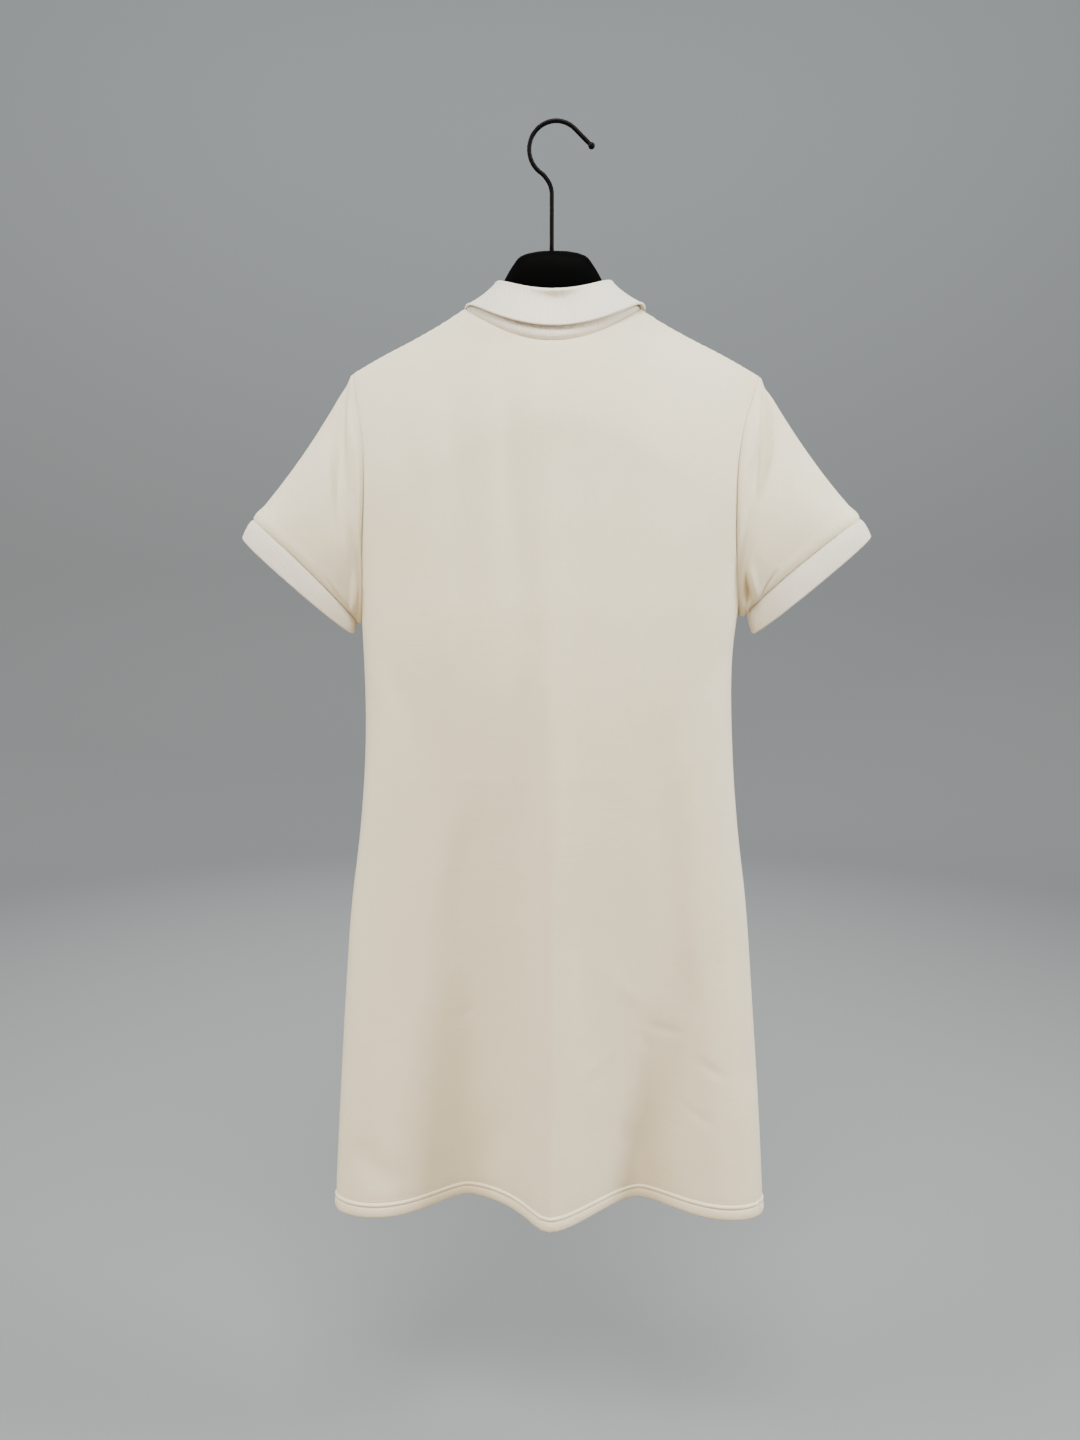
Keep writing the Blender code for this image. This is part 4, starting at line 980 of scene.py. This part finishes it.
# %% A turned button with four holes
def button_place(number):
    """Where a button's underside sits on the upper strip, and which way it faces."""
    z = float(neckline(0.0, -1)) - BUTTON["first"] - BUTTON["pitch"] * number
    slope = (float(depth_at(0.0, z + 5, -1)) - float(depth_at(0.0, z - 5, -1))) / 10
    axis = unit(np.array([0.0, -1.0, slope]))
    place = np.array([0.0, float(depth_at(0.0, z, -1)), z]) + axis * (STRIP_STEP + STRIP_HALF + 0.15)
    return place, axis


def turned(profile, steps):
    """Vertices and faces of a (radius, height) profile turned about Z, closed at both ends."""
    turns = np.linspace(0, 2 * np.pi, steps, endpoint=False)
    vertices = [(r * math.cos(a), r * math.sin(a), h) for r, h in profile for a in turns]
    return vertices, ring_faces(len(profile), steps)


BUTTON_PROFILE = ((0.80, 0), (0.93, 0.12), (1, 0.4), (1, 0.62), (0.96, 0.85), (0.88, 1), (0.78, 0.97),
                  (0.68, 0.80), (0.55, 0.68), (0.3, 0.64))


def button(number):
    """One button, drilled with four holes, in place on the strip."""
    r, h = BUTTON["radius"], BUTTON["height"]
    vertices, faces = turned([(r * across, h * up) for across, up in BUTTON_PROFILE], 48)
    disc = polygon_piece("button_%d_turned" % (number + 1), vertices, faces, button_finish)
    for k in range(4):
        a = math.radians(45 + 90 * k)
        pin_vertices, pin_faces = turned([(0.62, -1.0), (0.62, h + 1.0)], 16)
        pin_vertices = [(x + 1.55 * math.cos(a), y + 1.55 * math.sin(a), z) for x, y, z in pin_vertices]
        drill = polygon_piece("drill", pin_vertices, pin_faces, button_finish)
        cut = disc.modifiers.new("hole", "BOOLEAN")
        cut.operation = "DIFFERENCE"
        cut.object = drill
        plain_mesh(disc)
        bpy.data.objects.remove(drill, do_unlink=True)
    place, axis = button_place(number)
    turn = Vector(axis).to_track_quat("Z", "Y").to_matrix().to_4x4()
    disc.data.transform(Matrix.Translation(Vector(place) * MM) @ turn)
    disc.data.set_sharp_from_angle(angle=math.radians(35))
    return disc


def polygon_piece(name, vertices, faces, material):
    """An object from vertices in millimetres and faces of any number of corners."""
    data = bpy.data.meshes.new(name)
    data.from_pydata([tuple(c * MM for c in p) for p in vertices], [], faces)
    data.polygons.foreach_set("use_smooth", [True] * len(data.polygons))
    data.materials.append(material)
    data.update()
    return add_object(name, data)


def plain_mesh(piece):
    """Replaces a piece's mesh by its evaluated one, and takes its modifiers off."""
    bpy.context.view_layer.update()
    graph = bpy.context.evaluated_depsgraph_get()
    shape = bpy.data.meshes.new_from_object(piece.evaluated_get(graph))
    piece.modifiers.clear()
    piece.data = shape
    return piece


buttons = [button(number) for number in range(BUTTON["count"])]
print("buttons:", [len(b.data.polygons) for b in buttons])

# %% [markdown]
# ## Stitches
#
# Stitches repeat along a line, which is a job for Geometry Nodes: the line is resampled at
# the stitch pitch, a small rounded stitch is placed on each point, turned along the line and
# flat on the cloth, and the copies are made real. One tree serves the twin-needle hem, the
# placket, the buttonholes and the little ribs in the shadow under the collar.


# %% The tree that sews along a line
SEWING_NODES = {
    "source": "NodeGroupInput", "sink": "NodeGroupOutput", "curve": "GeometryNodeMeshToCurve",
    "even": "GeometryNodeResampleCurve", "bead": "GeometryNodeMeshUVSphere",
    "size": "ShaderNodeCombineXYZ", "shape": "GeometryNodeTransform", "along": "GeometryNodeInputTangent",
    "out": "GeometryNodeInputNamedAttribute", "first": "FunctionNodeAlignRotationToVector",
    "second": "FunctionNodeAlignRotationToVector", "spin": "FunctionNodeRotateRotation",
    "angle": "FunctionNodeAxisAngleToRotation", "place": "GeometryNodeInstanceOnPoints",
    "real": "GeometryNodeRealizeInstances", "paint": "GeometryNodeSetMaterial",
    "soft": "GeometryNodeSetShadeSmooth",
}
SEWING_WIRES = (
    ("source", "Geometry", "curve", "Mesh"), ("curve", "Curve", "even", "Curve"),
    ("source", "Pitch", "even", "Length"), ("source", "Length", "size", "X"),
    ("source", "Width", "size", "Y"), ("source", "Height", "size", "Z"),
    ("bead", "Mesh", "shape", "Geometry"), ("size", "Vector", "shape", "Scale"),
    ("out", "Attribute", "first", "Vector"), ("first", "Rotation", "second", "Rotation"),
    ("along", "Tangent", "second", "Vector"), ("second", "Rotation", "spin", "Rotation"),
    ("source", "Turn", "angle", "Angle"), ("angle", "Rotation", "spin", "Rotate By"),
    ("even", "Curve", "place", "Points"), ("shape", "Geometry", "place", "Instance"),
    ("spin", "Rotation", "place", "Rotation"), ("place", "Instances", "real", "Geometry"),
    ("real", "Geometry", "soft", "Geometry"), ("soft", "Geometry", "paint", "Geometry"),
    ("source", "Material", "paint", "Material"), ("paint", "Geometry", "sink", "Geometry"),
)


def stitch_tree():
    """Places a rounded stitch at every pitch of a line, facing the attribute 'out'."""
    tree = bpy.data.node_groups.new("sew_along_line", "GeometryNodeTree")
    face = tree.interface
    face.new_socket("Geometry", in_out="INPUT", socket_type="NodeSocketGeometry")
    for name in ("Pitch", "Length", "Width", "Height", "Turn"):
        face.new_socket(name, in_out="INPUT", socket_type="NodeSocketFloat")
    face.new_socket("Material", in_out="INPUT", socket_type="NodeSocketMaterial")
    face.new_socket("Geometry", in_out="OUTPUT", socket_type="NodeSocketGeometry")
    made = {label: tree.nodes.new(kind) for label, kind in SEWING_NODES.items()}
    made["even"].mode = "LENGTH"
    for label, value in (("Segments", 6), ("Rings", 4), ("Radius", 0.5)):
        made["bead"].inputs[label].default_value = value
    made["out"].data_type = "FLOAT_VECTOR"
    made["out"].inputs["Name"].default_value = "out"
    made["first"].axis = "Z"
    made["second"].axis = "X"
    made["second"].pivot_axis = "Z"
    made["spin"].rotation_space = "LOCAL"
    made["angle"].inputs["Axis"].default_value = (0, 0, 1)
    for start, outlet, end, inlet in SEWING_WIRES:
        tree.links.new(made[start].outputs[outlet], made[end].inputs[inlet])
    return tree


SEW = stitch_tree()
SOCKETS = {item.name: item.identifier for item in SEW.interface.items_tree if item.in_out == "INPUT"}


def sew(name, lines, pitch, length, width, height, turn=0.0, finish=thread):
    """Sews along lines of (points, outward normals), all in millimetres, as one piece."""
    vertices = np.concatenate([np.asarray(points) for points, _ in lines]) * MM
    outs = np.concatenate([unit(np.asarray(normals)) for _, normals in lines])
    edges = []
    first = 0
    for points, _ in lines:
        edges += [(first + k, first + k + 1) for k in range(len(points) - 1)]
        first += len(points)
    data = bpy.data.meshes.new(name)
    data.from_pydata([tuple(v) for v in vertices], edges, [])
    layer = data.attributes.new("out", "FLOAT_VECTOR", "POINT")
    layer.data.foreach_set("vector", outs.astype(np.float32).reshape(-1))
    piece = add_object(name, data)
    maker = piece.modifiers.new("sew", "NODES")
    maker.node_group = SEW
    values = {"Pitch": pitch * MM, "Length": length * MM, "Width": width * MM, "Height": height * MM,
              "Turn": turn, "Material": finish}
    for label, value in values.items():
        maker[SOCKETS[label]] = value
    plain_mesh(piece)
    print(name, len(piece.data.polygons), "faces")
    return piece


# %% Sewing the hem, the placket, the buttonholes and the collar's foot
def line_up_panel(points, normals, outside, distance):
    """The line on a panel's outer face at a distance above its hem."""
    up = lengths(points, 0)
    face = points + normals * (outside[..., None] + 0.05)
    line = []
    outs = []
    for j in range(2, points.shape[1] - 2):
        line.append([np.interp(distance, up[:, j], face[:, j, k]) for k in range(3)])
        outs.append(normals[np.searchsorted(up[:, j], distance), j])
    return np.array(line), np.array(outs)


hem_lines = {}
for key, cloth in (("back", (back_points, back_normals, back_outside)),
                   ("front", (front_points, front_normals, front_outside))):
    hem_lines[key] = [line_up_panel(*cloth, height) for height in (HEM_LOW_NEEDLE, HEM_HIGH_NEEDLE)]
hem_back_stitches = sew("hem_back_stitches", hem_lines["back"], 3.0, 2.5, 0.55, 0.4)
hem_front_stitches = sew("hem_front_stitches", hem_lines["front"], 3.0, 2.5, 0.55, 0.4)

strip_face = strip_points + strip_normals * (STRIP_HALF - 0.2)
placket_lines = []
for column in (5, -6):
    placket_lines.append((strip_face[5:-4, column], strip_normals[5:-4, column]))
for row in (5, 14):
    placket_lines.append((strip_face[row, 5:-5], strip_normals[row, 5:-5]))
placket_stitches = sew("placket_stitches", placket_lines, 2.8, 2.3, 0.5, 0.4)

hole_lines = []
thread_lines = []
for number in range(BUTTON["count"]):
    place, axis = button_place(number)
    right = np.array([1.0, 0.0, 0.0])
    above = unit(np.cross(axis, right))
    above = above * np.sign(above[2])
    turns = np.linspace(0, 2 * np.pi, 41)
    base = place - axis * 0.1
    oval = base + np.outer(np.cos(turns) * 1.0, right) + np.outer(np.sin(turns) * 8.0, above)
    hole_lines.append((oval, np.broadcast_to(axis, oval.shape)))
    for slope in (1, -1):
        rim = place + axis * (BUTTON["height"] * 0.75)
        ends = [rim + (right + above * slope) * reach for reach in (-1.15, 1.15)]
        middle = (ends[0] + ends[1]) / 2 + axis * 0.35
        thread_lines.append((np.array([ends[0], middle, ends[1]]), np.broadcast_to(axis, (3, 3))))
buttonhole_stitches = sew("buttonhole_stitches", hole_lines, 0.75, 1.5, 0.6, 0.5, math.pi / 2)
button_threads = sew("button_threads", thread_lines, 0.35, 0.9, 0.42, 0.42)

behind = (neck_sides > 0) & (np.abs(neck_angles) < 1.15)
foot = collar_grid[1][behind] * 0.8 + collar_grid[2][behind] * 0.2
foot_out = -collar_normals[1][behind]
foot_out = foot_out * np.sign(foot_out[:, 1:2])
collar_foot_ribs = sew("collar_foot_ribs", [(foot + foot_out * 1.0, foot_out)], 1.45, 5.0, 0.8, 0.9,
                       math.pi / 2, rib_knit)

# %% [markdown]
# ## Hanger and hook
#
# The hanger is a moulded body whose ends broaden into shoulders, so it is a loft through
# rounded sections. It stays inside the cloth by asking `depth_at` how much room there is. The
# hook is a wire: a stem screwed into the body, a round bend over the peg and a ball end.


# %% The moulded body
HANGER_END = 170.0
HANGER_STEPS = 56
TOP_HALF = 60.0
TOP_SHIFT = 1.2


def hanger_section(x, top, low, half):
    """A closed section of the hanger that stays inside the cloth over it."""
    turns = 2 * np.pi * (np.arange(HANGER_STEPS) + 0.5) / HANGER_STEPS
    up = np.sign(np.cos(turns)) * np.abs(np.cos(turns)) ** 0.8
    z = (top + low) / 2 + (top - low) / 2 * up
    y = half * np.sign(np.sin(turns)) * np.abs(np.sin(turns)) ** 0.7
    if abs(x) > NECK["half"] - 12:
        room = np.minimum(depth_at(x, z + 1.8, 1), -depth_at(x, z + 1.8, -1))
        y = np.sign(y) * np.minimum(np.abs(y), np.maximum(room - 1.6, 0.6))
    return np.stack([np.full(HANGER_STEPS, x), y, z], axis=-1)


def loft(name, rings, material):
    """A closed skin over rings of the same number of points."""
    rings = np.array(rings)
    count = rings.shape[1]
    faces = ring_faces(len(rings), count)
    points = rings.reshape(-1, 3)
    a, b, c = (points[faces[0][k]] for k in (0, 1, 3))
    if np.dot(np.cross(b - a, c - a), a - rings[0].mean(axis=0)) < 0:
        faces = [face[::-1] for face in faces]
    return polygon_piece(name, [tuple(p) for p in points], faces, material)



stations = np.concatenate([np.arange(-HANGER_END, -TOP_HALF, 3.0), np.linspace(-TOP_HALF, TOP_HALF, 61),
                           np.arange(TOP_HALF + 2, HANGER_END + 0.1, 3.0)])
hanger_rings = []
for x in stations:
    top, low, half = (float(smooth(HANGER["x"], HANGER[key], abs(x))) for key in ("top", "foot", "half"))
    ring = hanger_section(x, top, low, half)
    ring[:, 0] -= TOP_SHIFT * float(np.clip(min(TOP_HALF - abs(x), abs(x), 12) / 12, 0, 1))
    hanger_rings.append(ring)
for sign in (-1, 1):
    top, low, half = (HANGER[key][-1] for key in ("top", "foot", "half"))
    caps = []
    for reach, shrink in ((1.0, 0.6), (1.9, 1.8), (2.5, 3.6)):
        caps.append(hanger_section(sign * (HANGER_END + reach), top - shrink * 1.3, low + shrink * 1.3,
                                   (half - shrink) * 0.92))
    hanger_rings = hanger_rings + caps if sign > 0 else caps[::-1] + hanger_rings
hanger_moulding = loft("hanger_moulding", hanger_rings, hanger_finish)
print("hanger faces:", len(hanger_moulding.data.polygons))


# %% The wire hook
def hook_rings():
    """Rings round the hook's middle line, from the stem's foot to the ball."""
    cx, cz = HOOK["middle"]
    turns = np.radians(np.linspace(HOOK["start"], HOOK["end"], 60))
    arc = np.stack([cx + HOOK["radius"] * np.cos(turns), cz + HOOK["radius"] * np.sin(turns)], axis=-1)
    stem = np.array([(0.0, z) for z in (HOOK["stem_foot"] + 18, -100.0, -90.0, -75.0, HOOK["stem_top"])])
    corner = np.array([0.0, HOOK["stem_top"] + 8.0])
    before = arc[0] - unit(arc[1] - arc[0]) * 3.0
    shares = np.linspace(0, 1, 13)[1:, None]
    bend = (1 - shares) ** 2 * stem[-1] + 2 * shares * (1 - shares) * corner + shares**2 * before
    last = unit(arc[-1] - arc[-2])
    tip = arc[-1] + last * HOOK["lead"]
    lead = np.array([arc[-1] + last * HOOK["lead"] * t for t in (0.25, 0.5, 0.75)] + [tip - last * 1.2])
    path = np.concatenate([stem, bend, arc, lead])
    radii = [HOOK["wire"]] * len(path)
    ball_points = []
    for turn in np.radians(np.linspace(40, 172, 12)):
        ball_points.append(tip + last * (HOOK["ball"] * (0.8 - math.cos(turn))))
        radii.append(HOOK["ball"] * math.sin(turn))
    path = np.concatenate([path, ball_points])
    tangents = unit(np.gradient(path, axis=0))
    rings = []
    for point, tangent, radius in zip(path, tangents, radii):
        across = np.array([tangent[1], 0.0, -tangent[0]])
        a = np.linspace(0, 2 * np.pi, 24, endpoint=False)
        ring = np.outer(np.cos(a), across) + np.outer(np.sin(a), np.array([0.0, 1.0, 0.0]))
        rings.append(np.array([point[0], 0.0, point[1]]) + ring * radius)
    return rings


hook_wire = loft("hook_wire", hook_rings(), hook_finish)
print("hook faces:", len(hook_wire.data.polygons))

# %% [markdown]
# ## Putting each piece in place of its solid
#
# Every new piece rides on the one rigid body and replaces the plain solid that stood for it,
# which is hidden. The table of cuts gives the flat size each cloth piece was cut to: width,
# length and area; the area is printed beside the area that the piece shows.

# %% Rides, replaced nodes and cut sizes
PIECES = {
    "back_panel": (back_cloth, "knit"), "front_panel": (front_cloth, "knit"),
    "sleeve_left": (sleeve_cloths["left"], "knit"), "sleeve_right": (sleeve_cloths["right"], "knit"),
    "cuff_left": (cuff_ribs["left"], "rib"), "cuff_right": (cuff_ribs["right"], "rib"),
    "neck_band": (band_rib, "rib"), "collar": (collar_rib, "rib"),
    "placket_top": (placket_upper, "knit"), "placket_under": (placket_lower, "knit"),
    "button_1": (buttons[0], "button"), "button_2": (buttons[1], "button"),
    "button_3": (buttons[2], "button"),
    "hanger_body": (hanger_moulding, "hanger"), "hanger_hook": (hook_wire, "hook"),
}
for name, (piece, slot) in PIECES.items():
    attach(piece, "root")
    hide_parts(name)
SEWN = {
    "knit": (hem_back_stitches, hem_front_stitches, placket_stitches, buttonhole_stitches,
             button_threads),
    "rib": (collar_foot_ribs,),
}
for slot, lines in SEWN.items():
    for piece in lines:
        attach(piece, "root")

CUTS = {
    "back_panel": (0.490, 0.852, 0.336), "front_panel": (0.470, 0.852, 0.327),
    "sleeve_left": (0.345, 0.185, 0.0305), "sleeve_right": (0.345, 0.185, 0.0315),
    "cuff_left": (0.272, 0.022, 0.0059), "cuff_right": (0.284, 0.025, 0.0071),
    "neck_band": (0.385, 0.019, 0.0058), "collar": (0.400, 0.090, 0.026),
    "placket_top": (0.030, 0.165, 0.0048), "placket_under": (0.028, 0.162, 0.0044),
}
for name, (width, length, area) in CUTS.items():
    piece = PIECES[name][0]
    shown = sum(face.area for face in piece.data.polygons) / 2
    print("%-14s cut %.4f m2, shown %.4f m2" % (name, area, shown))

# %% [markdown]
# ## Floor, light and camera
#
# A plain pale floor lies well below the hem and curves up into a round backdrop, which is kept
# out of the cloth's own light. The main light is a broad soft panel above the camera. Two more
# come in from each side, so that the folds read without hard shadows, one warm one from below,
# one from the front of the dress, and one washes the backdrop. The camera looks at the back of
# the dress from just under 1 m away at chest height, tilted 7 degrees down.


# %% Stage and lights
def stage_finish(name, colour):
    """Plain matt paint for the floor."""
    material, _, shader = new_finish(name, 0.9)
    shader.inputs["Base Color"].default_value = (*colour, 1)
    return material


def area_light(name, place, aim, size, power, colour=(1, 1, 1)):
    """A soft rectangular light that points at a place."""
    data = bpy.data.lights.new(name, "AREA")
    data.shape = "RECTANGLE"
    data.size, data.size_y = size
    data.energy = power
    data.color = colour
    lamp = add_object(name, data)
    lamp.location = place
    lamp.rotation_euler = (Vector(aim) - Vector(place)).to_track_quat("-Z", "Y").to_euler()


FLOOR_Z = -1.30
FLOOR_RADIUS = 2.8
FOOT_RADIUS = 1.0
WALL_HEIGHT = 5.5
foot = [(FLOOR_RADIUS + FOOT_RADIUS * math.sin(t), FOOT_RADIUS * (1 - math.cos(t)))
        for t in np.linspace(0, math.pi / 2, 15)]
flat = [(0.5, 0.0), (1.5, 0.0), (FLOOR_RADIUS - 0.1, 0.0)]
points, faces = turned(flat + foot + [(FLOOR_RADIUS + FOOT_RADIUS, WALL_HEIGHT)], 72)
points = [(x, y, FLOOR_Z + z) for x, y, z in points]
floor_data = bpy.data.meshes.new("floor")
floor_data.from_pydata(points, [], [face[::-1] for face in faces[:-1]])
floor_data.polygons.foreach_set("use_smooth", [True] * len(floor_data.polygons))
floor_data.materials.append(stage_finish("floor_paint", (0.215, 0.235, 0.248)))
floor = add_object("floor", floor_data)
floor.visible_diffuse = False
floor.visible_shadow = False

world = bpy.data.worlds.new("studio")
world.use_nodes = True
world.node_tree.nodes["Background"].inputs["Color"].default_value = (0.30, 0.292, 0.28, 1)
world.node_tree.nodes["Background"].inputs["Strength"].default_value = 1.0
bpy.context.scene.world = world

WARM = (1.0, 0.965, 0.905)
area_light("key_above", (-0.1, 1.5, 1.6), (0, 0, -0.20), (1.3, 0.9), 104, WARM)
area_light("high_left", (1.7, 0.8, 0.9), (0.2, 0, -0.15), (0.6, 0.6), 36, WARM)
area_light("side_left", (1.9, 0.7, -0.3), (0, 0, -0.5), (0.8, 1.2), 6, WARM)
area_light("side_right", (-1.7, 0.42, 0.25), (0, 0, -0.4), (0.4, 1.4), 48, WARM)
area_light("low_bounce", (0.3, 1.5, -0.99), (0, 0, -0.90), (1.6, 0.4), 15, (1.0, 0.66, 0.30))
area_light("backdrop_wash", (0.0, -1.3, 2.3), (0, -3.5, 0.3), (3.0, 0.6), 78)
area_light("front_fill", (0.4, -2.0, 0.9), (0, 0, -0.5), (1.8, 1.4), 46, WARM)
print("lights:", len(bpy.data.lights))

# %% Camera
CAMERA_AT = Vector((-0.01234, 0.975, -0.398015))
CAMERA_AIM = Vector((0.0228264, -0.9928945, -0.1167879))
IMAGE = (1080, 1440)
FOCAL_PIXELS = 1080.0
right = CAMERA_AIM.cross(Vector((0, 0, 1))).normalized()
above = right.cross(CAMERA_AIM)
lens = bpy.data.cameras.new("camera")
lens.sensor_width = 36.0
lens.sensor_fit = "AUTO"
lens.lens = FOCAL_PIXELS / max(IMAGE) * lens.sensor_width
camera = add_object("camera", lens)
turn = Matrix((right, above, -CAMERA_AIM)).transposed().to_4x4()
camera.matrix_world = Matrix.Translation(CAMERA_AT) @ turn
bpy.context.scene.camera = camera
print("lens", round(lens.lens, 2), "mm")
